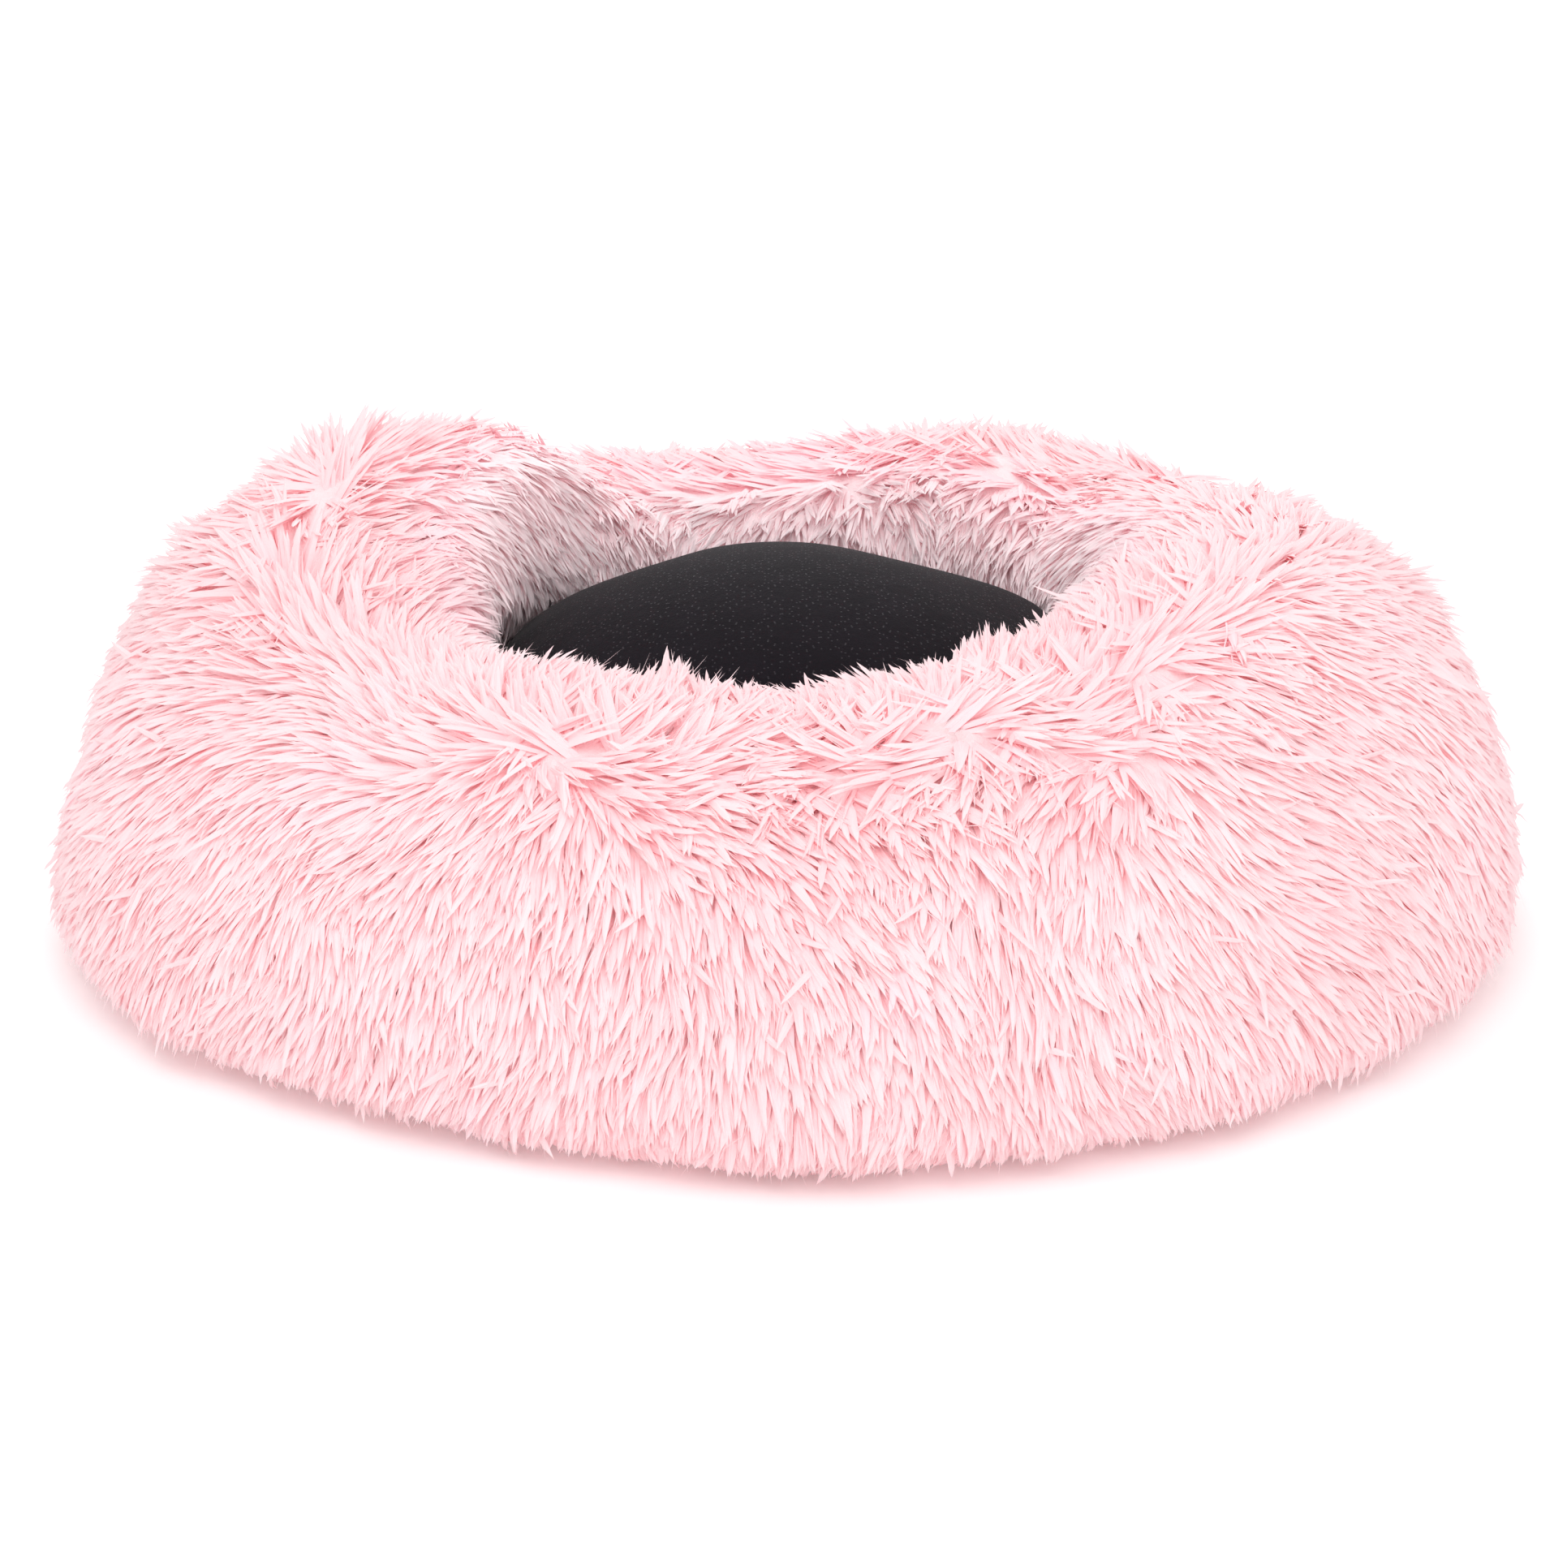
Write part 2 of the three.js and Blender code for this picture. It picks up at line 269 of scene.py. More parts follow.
class RingShape:
    """The ring's face at one depth in its pile, by turn round it and by share along its section."""

    STEPS = 40
    STRIDE = 0.004

    def __init__(self, ring, depth):
        self.ring = ring
        self.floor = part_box("inner_fur_panel_front")[0].z
        self.centre = well_centre()
        angle = np.linspace(0, np.pi / 2, self.STEPS)
        widest, foot, well = ring.reach - depth, ring.foot_radius - depth, ring.well_radius + depth
        crest, rise = ring.height - depth, angle[::-1]
        wall_power, mouth_power = 2 / WALL_BULGE_SHARE, 2 / MOUTH_BULGE_SHARE
        runs = [
            (foot + (widest - foot) * np.sin(angle), ring.widest_height * (1 - np.cos(angle))),
            (widest + (ring.crest_radius - widest) * (1 - np.cos(angle) ** wall_power),
             ring.widest_height + (crest - ring.widest_height) * np.sin(angle) ** wall_power),
            (well + (ring.crest_radius - well) * (1 - np.cos(rise) ** mouth_power),
             ring.throat_height + (crest - ring.throat_height) * np.sin(rise) ** mouth_power),
            (np.full(self.STEPS, well), np.linspace(ring.throat_height, self.floor, self.STEPS)),
        ]
        self.radii = np.concatenate([runs[0][0]] + [run[0][1:] for run in runs[1:]])
        self.heights = np.concatenate([runs[0][1]] + [run[1][1:] for run in runs[1:]])
        run = np.concatenate([[0], np.cumsum(np.hypot(np.diff(self.radii), np.diff(self.heights)))])
        self.length = run[-1]
        self.shares = run / run[-1]
        self.crest_step = 2 * (self.STEPS - 1)
        self.crest = self.shares[self.crest_step]

    def settle(self, radius, height, turn):
        """Where a point of an even ring lies in the uneven, filled one."""
        ring = self.ring
        outwards = smoothstep(radius, ring.well_radius + ring.pile_depth, ring.reach)
        mouth = smoothstep(radius, ring.well_radius, ring.crest_radius)
        mouth = mouth * (1 - smoothstep(radius, ring.crest_radius, ring.reach))
        lean = round_table(LEAN_SHARES, turn) * (ring.crest_radius - ring.well_radius) * mouth
        bulge = (1 - smoothstep(radius, *BULGE_RADII)) * round_table(OVERHANG, turn)
        radius = radius * (1 + (round_table(REACH_SHARES, turn) - 1) * outwards) - lean
        above = np.maximum(0, height - ring.widest_height)
        tall = 1 + (round_table(CREST_SHARES, turn) - 1) * ring.height / (ring.height - ring.widest_height)
        height = height - above + above * tall
        radius = radius - bulge * smoothstep(height, BULGE_START, round_table(OVERHANG_HEIGHT, turn))
        around = np.stack([radius * np.sin(turn), -radius * np.cos(turn), height], -1)
        swell = ring.swell * sum(share * wander(around, size, seed) for size, share, seed in LUMPS)
        swell = swell * smoothstep(height, *LUMP_HEIGHTS) * smoothstep(radius, *LUMP_RADII)
        off_core = unit(np.stack([radius - ring.crest_radius, height - ring.throat_height], -1))
        radius, height = radius + swell * off_core[..., 0], height + swell * off_core[..., 1]
        return np.stack([self.centre[0] + radius * np.sin(turn), self.centre[1] - radius * np.cos(turn),
                         height], -1)

    def point(self, turn, along):
        return self.settle(np.interp(along, self.shares, self.radii),
                           np.interp(along, self.shares, self.heights), turn)

    def lie(self, turn, along):
        """The point, and unit vectors out of the face, up its section and round the ring."""
        step = self.STRIDE
        further, nearer = np.minimum(along + step, 1), np.maximum(along - step, 0)
        section = unit(self.point(turn, further) - self.point(turn, nearer))
        around = unit(self.point(turn + step, along) - self.point(turn - step, along))
        out = unit(np.cross(around, section))
        return self.point(turn, along), out, section, around


def show(bm, name, material, body, nodes=(), smooth=True):
    """Makes a bmesh a piece of the bed, which rides on a body and stands for the CAD nodes."""
    mesh = bpy.data.meshes.new(name)
    bm.to_mesh(mesh)
    bm.free()
    return show_mesh(mesh, name, material, body, nodes, smooth)


def show_mesh(mesh, name, material, body, nodes=(), smooth=True):
    mesh.materials.append(material)
    mesh.polygons.foreach_set("use_smooth", [smooth] * len(mesh.polygons))
    piece = bpy.data.objects.new(name, mesh)
    bpy.context.scene.collection.objects.link(piece)
    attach(piece, body)
    if nodes:
        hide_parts(*nodes)
    return piece


def turned(profile, start=0.0, sweep=2 * math.pi, steps=120):
    """A bmesh of a profile of (radius, height), turned about the axis from a start counted from the front."""
    bm = bmesh.new()
    points = [bm.verts.new((r * math.sin(start), -r * math.cos(start), z)) for r, z in profile]
    edges = [bm.edges.new(pair) for pair in zip(points, points[1:])]
    full = abs(sweep - 2 * math.pi) < 1e-6
    bmesh.ops.spin(bm, geom=points + edges, cent=(0, 0, 0), axis=(0, 0, 1), angle=sweep, steps=steps,
                   use_merge=full)
    bmesh.ops.remove_doubles(bm, verts=bm.verts, dist=1e-5)
    bmesh.ops.recalc_face_normals(bm, faces=bm.faces)
    return bm


def eased(radius, start, end, ease=EDGE_EASE):
    """Profile of a cut edge between two heights; a negative ease is for an edge that faces inwards."""
    up = abs(ease) if end > start else -abs(ease)
    return [(radius - ease, start), (radius, start + up), (radius, end - up), (radius - ease, end)]


def flat_round(low, high, across, edge):
    """Profile of a flat round piece: its underside, its edge and its upper side."""
    return [(r, low) for r in across] + edge + [(r, high) for r in across[::-1]]


def settle_points(bm, shape):
    """Moves the points of an even ring to the uneven one."""
    even = np.array([v.co for v in bm.verts])
    turn = np.arctan2(even[:, 0], -even[:, 1])
    moved = shape.settle(np.hypot(even[:, 0], even[:, 1]), even[:, 2], turn)
    for vert, place in zip(bm.verts, moved):
        vert.co = place


def linear(colour):
    """A display colour as the renderer takes it."""
    return (*Color(colour).from_srgb_to_scene_linear(), 1.0)


def feed(tree, node, values):
    """Gives a node's inputs values, or joins them to other nodes' outputs."""
    for name, value in values.items():
        if isinstance(value, bpy.types.NodeSocket):
            tree.links.new(value, node.inputs[name])
        else:
            node.inputs[name].default_value = value


def add_node(tree, kind, values=None, **settings):
    """Adds a node with its settings, and feeds its inputs."""
    node = tree.nodes.new(kind)
    for name, value in settings.items():
        setattr(node, name, value)
    feed(tree, node, values or {})
    return node


def reckon(tree, operation, *values):
    return add_node(tree, "ShaderNodeMath", dict(enumerate(values)), operation=operation).outputs[0]


def reckon_length(tree, x, y):
    """The length of a flat vector."""
    return reckon(tree, "SQRT", reckon(tree, "MULTIPLY_ADD", x, x, reckon(tree, "MULTIPLY", y, y)))


def mix_colours(tree, share, first, second, blend="MIX"):
    return add_node(tree, "ShaderNodeMix", {0: share, 6: first, 7: second}, data_type="RGBA",
                    blend_type=blend).outputs[2]


def ramp(tree, share, stops):
    """A colour ramp through (place, colour) stops."""
    node = add_node(tree, "ShaderNodeValToRGB", {"Fac": share})
    points = node.color_ramp.elements
    while len(points) < len(stops):
        points.new(0.5)
    for point, (place, colour) in zip(points, stops):
        point.position, point.color = place, colour
    return node.outputs["Color"]


def bump(tree, height, strength, distance):
    return add_node(tree, "ShaderNodeBump", {"Height": height, "Strength": strength,
                                             "Distance": distance}).outputs["Normal"]


def object_place(tree):
    return add_node(tree, "ShaderNodeTexCoord").outputs["Object"]


def material_once(name, build):
    """The material of this name. The first time, its shader is fed with what build returns."""
    material = bpy.data.materials.get(name)
    if not material:
        material = bpy.data.materials.new(name)
        material.use_nodes = True
        feed(material.node_tree, material.node_tree.nodes["Principled BSDF"], build(material.node_tree))
    return material


def use_group(tree, name, outputs, build, **values):
    """A node group's outputs. The first time, the group is made, and build returns what its outputs give."""
    given = {label.replace("_", " "): value for label, value in values.items()}
    group = bpy.data.node_groups.get(name)
    if not group:
        group = bpy.data.node_groups.new(name, "ShaderNodeTree")
        for label in given:
            kind = "NodeSocketVector" if label == "Vector" else "NodeSocketFloat"
            group.interface.new_socket(label, in_out="INPUT", socket_type=kind)
        for label in outputs:
            group.interface.new_socket(label, in_out="OUTPUT", socket_type="NodeSocketFloat")
        inside, result = group.nodes.new("NodeGroupInput"), group.nodes.new("NodeGroupOutput")
        feed(group, result, build(group, inside.outputs))
    return add_node(tree, "ShaderNodeGroup", given, node_tree=group).outputs


def use_nap(tree, place, fibres_per_metre):
    """Short tangled fibres, as on felt and brushed cloth."""
    def build(group, given):
        bent = add_node(group, "ShaderNodeTexNoise", {"Vector": given["Vector"], "Scale": 120.0,
                                                      "Detail": 2.0})
        moved = add_node(group, "ShaderNodeVectorMath", {0: bent.outputs["Color"], 1: (0.012, 0.012, 0.012),
                                                         2: given["Vector"]}, operation="MULTIPLY_ADD")
        fibres = add_node(group, "ShaderNodeTexNoise", {
            "Vector": moved.outputs[0], "Scale": given["Fibres per Metre"], "Detail": 4.0, "Roughness": 0.65})
        patches = add_node(group, "ShaderNodeTexNoise", {
            "Vector": given["Vector"], "Scale": 45.0, "Detail": 5.0, "Roughness": 0.6})
        return {"Height": fibres.outputs["Fac"], "Mottle": patches.outputs["Fac"]}
    return use_group(tree, "Cloth Nap", ("Height", "Mottle"), build, Vector=place,
                     Fibres_per_Metre=fibres_per_metre)


def use_weave(tree, place, threads_per_metre):
    """Height of plain woven threads."""
    def build(group, given):
        parts = add_node(group, "ShaderNodeSeparateXYZ", {0: given["Vector"]})
        turns = reckon(group, "MULTIPLY", given["Threads per Metre"], math.pi)
        warp, weft = (reckon(group, "SINE", reckon(group, "MULTIPLY", parts.outputs[axis], turns))
                      for axis in "XY")
        return {"Height": reckon(group, "MULTIPLY_ADD", reckon(group, "MULTIPLY", warp, weft), 0.5, 0.5)}
    return use_group(tree, "Plain Weave", ["Height"], build, Vector=place,
                     Threads_per_Metre=threads_per_metre)["Height"]


def use_dot_circle(tree, place, pitch, shift_x, shift_y, radius, count):
    """Mask of grip dots set in a circle, one circle in each square of a grid."""
    def build(group, given):
        parts = add_node(group, "ShaderNodeSeparateXYZ", {0: given["Vector"]})
        across = []
        for axis in "XY":
            place = reckon(group, "DIVIDE", parts.outputs[axis], given["Pitch"])
            place = reckon(group, "FRACT", reckon(group, "ADD", place, given["Shift " + axis]))
            across.append(reckon(group, "SUBTRACT", place, 0.5))
        off_ring = reckon(group, "SUBTRACT", reckon_length(group, *across), given["Radius"])
        turn = reckon(group, "DIVIDE", reckon(group, "ARCTAN2", across[1], across[0]), 2 * math.pi)
        step = reckon(group, "FRACT", reckon(group, "MULTIPLY", turn, given["Dots"]))
        arc = reckon(group, "DIVIDE", reckon(group, "MULTIPLY", given["Radius"], 2 * math.pi), given["Dots"])
        off_step = reckon(group, "MULTIPLY", reckon(group, "SUBTRACT", step, 0.5), arc)
        share = reckon(group, "DIVIDE", reckon_length(group, off_ring, off_step), DOT_RADIUS)
        mask = add_node(group, "ShaderNodeMapRange", {0: share, 1: 0.7, 2: 1.15, 3: 1.0, 4: 0.0},
                        interpolation_type="SMOOTHSTEP")
        return {"Mask": mask.outputs[0]}
    return use_group(tree, "Grip Dot Circle", ["Mask"], build, Vector=place, Pitch=pitch, Shift_X=shift_x,
                     Shift_Y=shift_y, Radius=radius, Dots=count)["Mask"]


def plush_material(pile):
    """Pale pink fibres, painted a little deeper and warmer at their roots as painted shade down in the pile,
    and paler in the well as painted light, which read the strand's own map.
    """
    def build(tree):
        strand = add_node(tree, "ShaderNodeUVMap", uv_map="OFBake").outputs["UV"]
        parts = add_node(tree, "ShaderNodeSeparateXYZ", {0: strand}).outputs
        # The roots are painted a little deeper than the tips, as painted shade down in the pile
        tip, root = linear(pile.tip_colour), linear(pile.root_shade_colour)
        middle = tuple(r + (t - r) * 0.72 for r, t in zip(root, tip))
        length = ramp(tree, parts["Y"], [(0.0, root), (0.45, middle), (0.85, tip)])
        dye = ramp(tree, parts["X"], [
            (0.0, linear((1.0, 0.97, 0.975))), (0.2, linear((1.0, 0.985, 0.988))), (0.45, (1, 1, 1, 1)),
            (DYE_TOP, linear((1.0, 0.99, 1.0)))])
        dyed = mix_colours(tree, 1.0, length, dye, "MULTIPLY")
        # The pile in the well is painted paler: painted light for the light that real strands let through
        well_light_share = add_node(tree, "ShaderNodeMapRange", {0: parts["X"], 1: 0.62, 2: 0.96}).outputs[0]
        dyed = mix_colours(tree, well_light_share, dyed, linear(pile.well_light_colour))
        stripes = add_node(tree, "ShaderNodeMapping", {"Vector": strand, "Scale": (420.0, 3.0, 1.0)})
        fine = add_node(tree, "ShaderNodeTexNoise", {"Vector": stripes.outputs[0], "Scale": 1.0,
                                                     "Detail": 2.0})
        fibre = ramp(tree, fine.outputs["Fac"], [(0.3, linear((1.0, 0.98, 0.983))), (0.62, (1, 1, 1, 1))])
        rough = add_node(tree, "ShaderNodeMapRange", {0: parts["Y"], 3: 0.85, 4: 0.6})
        return {"Base Color": mix_colours(tree, 1.0, dyed, fibre, "MULTIPLY"),
                "Roughness": rough.outputs[0], "Specular IOR Level": 0.12}
    return material_once("Pale Pink Plush", build)


def under_pile_material(name, colour):
    """The dense short fibres that the long locks stand in, painted a little darker where their nap is low, as
    painted shade.
    """
    def build(tree):
        height = use_nap(tree, object_place(tree), 600.0)["Height"]
        root = linear(colour)
        # A little darker where the nap's height, which also bumps it, is low: painted shade
        deep = (root[0], root[1] * 0.95, root[2] * 0.955, 1)
        return {"Base Color": ramp(tree, height, [(0.35, deep), (0.6, root)]), "Roughness": 0.9,
                "Normal": bump(tree, height, 0.6, 0.001)}
    return material_once(name, build)


def lay_flat(tree, place, cushion):
    """Where a place on the dome was in its round of cloth before sewing; the base cloth stays as it is."""
    parts = add_node(tree, "ShaderNodeSeparateXYZ", {0: place})
    x, y, z = (parts.outputs[axis] for axis in "XYZ")
    radius = reckon_length(tree, x, y)
    drop = reckon(tree, "MAXIMUM", reckon(tree, "SUBTRACT", cushion.crown_top - FLAT_CROWN, z), 0.0)
    drop = reckon(tree, "MULTIPLY", drop, reckon(tree, "GREATER_THAN", z, cushion.base_height))
    arc = reckon_length(tree, radius, reckon(tree, "MULTIPLY", drop, DROP_SHARE))
    share = reckon(tree, "DIVIDE", arc, reckon(tree, "MAXIMUM", radius, 0.0001))
    return add_node(tree, "ShaderNodeVectorMath", {0: place, "Scale": share}, operation="SCALE").outputs[0]


def grip_cloth_material(cushion):
    """Dark brushed cloth with fine pale grip dots in circles that cross; its fibres are painted darker where
    the nap is low and paler where it is high, as painted shade and highlight, and mottled at random.
    """
    def build(tree):
        place = object_place(tree)
        nap = use_nap(tree, place, 1100.0)
        laid = lay_flat(tree, place, cushion)
        dots = 0.0
        for circle in DOT_CIRCLES:
            dots = reckon(tree, "MAXIMUM", dots, use_dot_circle(tree, laid, cushion.dot_pitch, *circle))
        cloth = linear(cushion.cloth_colour)
        pale = tuple(min(1, c * 1.45) for c in cloth[:3]) + (1,)
        deep = tuple(c * 0.8 for c in cloth[:3]) + (1,)
        mottle = reckon(tree, "MULTIPLY", nap["Mottle"], 0.4)
        # Darker where the nap, which also bumps the cloth, is low and paler where it is high: painted shade
        # and highlight; the mottle varies at random
        tangle = reckon(tree, "MULTIPLY_ADD", nap["Height"], 0.6, mottle)
        felt = ramp(tree, tangle, [(0.36, deep), (0.5, cloth), (0.66, pale)])
        worn = reckon(tree, "MULTIPLY", dots, reckon(tree, "MULTIPLY_ADD", nap["Mottle"], 1.1, 0.05))
        height = reckon(tree, "MULTIPLY_ADD", dots, 0.6, nap["Height"])
        return {"Base Color": mix_colours(tree, worn, felt, linear(cushion.dot_colour)),
                "Roughness": reckon(tree, "MULTIPLY_ADD", dots, -0.4, 0.95),
                "Normal": bump(tree, height, 0.5, 0.0005), "Specular IOR Level": 0.12,
                "Sheen Weight": 0.08, "Sheen Roughness": 0.35}
    return material_once("Dark Grip Cloth", build)


def woven_material(name, colour, threads):
    """Plain woven cloth or tape in one colour, painted darker where the threads dip, as painted shade, and
    mottled at random.
    """
    def build(tree):
        place = object_place(tree)
        weave, nap = use_weave(tree, place, threads), use_nap(tree, place, threads)
        base = linear(colour)
        dark = tuple(c * 0.6 for c in base[:3]) + (1,)
        mottle = reckon(tree, "MULTIPLY", nap["Mottle"], 0.6)
        # Darker where the weave dips, as its bump does: painted shade; the mottle varies at random
        share = reckon(tree, "MULTIPLY_ADD", weave, 0.6, mottle)
        height = reckon(tree, "MULTIPLY_ADD", nap["Height"], 0.3, weave)
        return {"Base Color": mix_colours(tree, share, dark, base), "Roughness": 0.85,
                "Normal": bump(tree, height, 0.6, 0.0003)}
    return material_once(name, build)


def tape_material(cushion):
    """The dark cloth's colour, a little deeper."""
    colour = tuple(0.85 * part for part in cushion.cloth_colour)
    return woven_material("Dark Binding Tape", colour, TAPE_THREADS)


def lining_material(cushion):
    return woven_material("Dark Lining", cushion.cloth_colour, LINING_THREADS)


def wadding_material():
    """Off-white hollow-fibre filling, painted darker where its nap is low, as painted shade."""
    def build(tree):
        height = use_nap(tree, object_place(tree), 260.0)["Height"]
        # Darker where the nap, which also bumps it, is low: painted shade
        colour = ramp(tree, height, [(0.3, linear((0.84, 0.84, 0.82))), (0.6, linear((0.95, 0.95, 0.94)))])
        return {"Base Color": colour, "Roughness": 0.95, "Normal": bump(tree, height, 0.8, 0.002)}
    return material_once("Fibre Wadding", build)


# Each wall's two panels, and where they start, in turns after the wall's seam
PANELS = (("outer", "right", 0.0), ("outer", "left", math.pi),
          ("inner", "back", 0.0), ("inner", "front", math.pi))

# How far out of the crest the pile parts, in metres, every 30 degrees from the front towards the right
PARTING = (0.042, 0.034, 0.022, 0.012, 0.002, -0.004, -0.006, -0.006, 0.0, 0.018, 0.03, 0.042)

# How far the pile of the inner wall stands off it, and how closely it follows the mouth's edge
INNER_STAND = (0.1, 0.1, 0.1, 0.1, 0.1, 0.1, 0.1, 0.1, 0.1, 0.09, 0.08, 0.1)
EDGE_HUG = (0.75, 0.75, 0.75, 0.7, 0.6, 0.5, 0.5, 0.5, 0.5, 0.6, 0.6, 0.7)

# Sizes of the pile's random swells: of its parting, its wide and close sway, its length and its dye
PARTING_SWELL, WIDE_SWAY, CLOSE_SWAY, LENGTH_SWELL, DYE_SWELL = 0.07, 0.12, 0.05, 0.06, 0.09

# Metres from the parting within which the pile turns over, and over which the outer wall becomes the inner
TURN_REACH, WALL_REACH = 0.04, 0.03

# Height under which the outer locks are trimmed and tucked in, and the share that is cut off
TRIM_HEIGHT, TRIM_SHARE = 0.05, 0.6

# Radii between which the pile takes on the paler well colour, painted light for the light that real strands
# let through, and the dye shares of common pile and of the well's painted-light pile
WELL_LIGHT_RADII, DYE_TOP, WELL_LIGHT_DYE = (0.125, 0.178), 0.6, 0.98

# Share of stray locks, how far each root is sunk into the under-pile, and how far tips are drawn together
STRAY_SHARE, ROOT_DEPTH, TIP_DRAW = 0.04, 0.001, 0.7

# Share of its length at which a lock feels how round the roll is, and its lowest and steepest angles
FEEL_AHEAD, LOWEST_TIP, STEEPEST = 0.75, -1.0, 1.2

# How softly the pile meets the floor, its top and the dome, and how far it stays off the dome
FLOOR_EASE, TOP_EASE, DOME_EASE, DOME_GAP = 0.002, 0.003, 0.003, 0.0015

# Rings of a lock and of a thin strand: height and width as shares of the whole
LOCK_RINGS, FIBRE_RINGS = ((0, 0.8), (0.42, 1.0), (0.83, 0.58)), ((0, 1.0), (0.55, 0.9))

# Where the outer wall's lowest row of tufts is, as a share of the section from foot to well
FIRST_ROW = 0.03

# In how many pieces the pile of each panel is made
SECTORS = {"outer": 4, "inner": 2}

# Cowlicks: turn in degrees, metres inward of the crest, reach in metres and pull
COWLICKS = ((-33, -0.034, 0.035, 0.2), (-19, -0.05, 0.03, 0.15), (16, -0.034, 0.03, 0.1),
            (38, -0.062, 0.035, 0.12), (-62, -0.01, 0.05, 0.16), (140, 0.01, 0.05, 0.12),
            (52, -0.12, 0.04, 0.2))

# Tufts that stand up: turn in degrees, metres inward of the crest, reach in metres, lift, and growth
TUFTS = ((-13, 0.002, 0.012, 0.9, 1.2), (12, 0.004, 0.01, 0.4, 1.1), (24, 0.006, 0.012, 0.5, 1.2),
         (33, 0.004, 0.01, 0.4, 1.1), (241, -0.014, 0.018, 0.5, 1.15), (101, -0.05, 0.012, 0.9, 1.3),
         (108, -0.04, 0.01, 0.8, 1.3), (-68, -0.03, 0.035, 0.4, 1.0),
         (258, -0.01, 0.02, 0.4, 1.25), (272, -0.055, 0.02, 0.5, 1.2), (84, -0.06, 0.02, 0.4, 1.2))


def soft_floor(value, low, ease):
    """Values that would pass a limit come to rest just above it."""
    return np.where(value < low + ease, low + ease * np.exp((value - low - ease) / ease), value)


class LockShape:
    """A tapering lock of unit length along Z, as points and faces to be copied along a bent line."""

    SIDES = 3

    def __init__(self, rings):
        bm = bmesh.new()
        bmesh.ops.create_cone(bm, cap_ends=True, segments=self.SIDES, radius1=rings[0][1], radius2=0, depth=1,
                              matrix=Matrix.Translation((0, 0, 0.5)))
        for height, width in rings[1:]:
            cut = bmesh.ops.bisect_plane(bm, geom=bm.verts[:] + bm.edges[:] + bm.faces[:],
                                         plane_co=(0, 0, height), plane_no=(0, 0, 1))
            ring = [g for g in cut["geom_cut"] if isinstance(g, bmesh.types.BMVert)]
            share = width / ring[0].co.xy.length
            bmesh.ops.scale(bm, verts=ring, vec=(share, share, 1))
        bmesh.ops.recalc_face_normals(bm, faces=bm.faces)
        bm.verts.index_update()
        self.points = np.array([v.co for v in bm.verts])
        turn = np.arctan2(self.points[:, 1], self.points[:, 0])
        self.side = np.mod(turn / (2 * np.pi), 1)
        self.faces = [[v.index for v in f.verts] for f in bm.faces]
        bm.free()


class PileField:
    """How the pile lies at each root: where it is combed to, how it stands, and how long it is."""

    def __init__(self, shape, pile):
        self.shape, self.pile = shape, pile

    def near(self, place, turn, inward, reach):
        """The way from a spot on the ring, whose turn is in degrees, and how near it is: 1 at the spot."""
        spot = self.shape.point(np.radians(turn), self.shape.crest + inward / self.shape.length)
        away = place - spot
        return away, np.exp(-(away**2).sum(-1) / reach**2)

    def lie(self, turn, along, rng):
        """Place, outward and combed directions, length, tip and root angles, and width share of each tuft."""
        shape, pile = self.shape, self.pile
        place, out, section, around = shape.lie(turn, along)
        # The pile parts near the crest, and sways and is swept to the side on its way
        apart = (along - shape.crest) * shape.length + round_table(PARTING, turn)
        flow = np.tanh((apart + 0.012 * wander(place, PARTING_SWELL, pile.seed + 5)) / TURN_REACH)
        outer = smoothstep(-apart, -WALL_REACH, WALL_REACH)
        sway = 0.5 * np.sin(turn) * outer + 0.35 * wander(place, WIDE_SWAY, pile.seed)
        sway = sway + 0.2 * wander(place, CLOSE_SWAY, pile.seed + 1)
        rough = 0.08 + 0.08 * (1 - outer) + 0.15 * (1 - np.abs(flow))
        swept = 0.8 * np.sin(turn) * np.maximum(0, np.cos(turn)) * np.exp(-((apart - 0.02) / 0.03) ** 2)
        sway = sway + swept + rough * rng.normal(size=len(turn))
        combed = section * flow[:, None] + around * sway[:, None]
        # It stands up at the parting, at cowlicks and in tufts
        stand = 0.22 * (1 - np.abs(flow)) ** 2 + (1 - outer) * round_table(INNER_STAND, turn)
        for at_turn, inward, reach, pull in COWLICKS:
            away, near = self.near(place, at_turn, inward, reach)
            combed = combed + (pull * near)[:, None] * unit(away)
            stand = stand + 0.1 * near**4
        fine = smoothstep(apart, 0.0, 0.05)
        uneven = 0.1 * wander(place, LENGTH_SWELL, pile.seed + 2) + 0.08 * rng.normal(size=len(turn))
        trimmed = (1 - smoothstep(place[:, 2], 0.0, TRIM_HEIGHT)) * outer
        length = pile.length * (1 - 0.2 * fine) * (1 + uneven) * (1 - TRIM_SHARE * trimmed)
        for at_turn, inward, reach, lift, growth in TUFTS:
            near = self.near(place, at_turn, inward, reach)[1]
            stand = stand + lift * near
            length = length * (1 + (growth - 1) * near)
        combed = unit(combed - out * (combed * out).sum(-1)[:, None])
        # Its tips bend down as far as the roll is round ahead of them
        ahead = along + FEEL_AHEAD * length * (combed * section).sum(-1) / shape.length
        aside = turn + FEEL_AHEAD * length * (combed * around).sum(-1) / RING_MIDDLE
        out_beyond = shape.lie(aside, np.clip(ahead, 0, 1))[1]
        roundness = np.arccos(np.clip((out * out_beyond).sum(-1), -1, 1))
        hug = 0.8 * outer + 0.3 * trimmed + (1 - outer) * round_table(EDGE_HUG, turn)
        flat = (1 - 0.45 * outer * np.abs(np.sin(turn))) * (1 - 0.5 * trimmed) * (1 - 0.35 * fine)
        tip = pile.tip_angle + stand - hug * roundness + 0.08 * flat * rng.normal(size=len(turn))
        rise = pile.root_angle * flat + 0.2 * np.minimum(stand, STEEPEST)
        return place, out, combed, length, np.clip(tip, LOWEST_TIP, STEEPEST), rise, 1 - 0.25 * fine


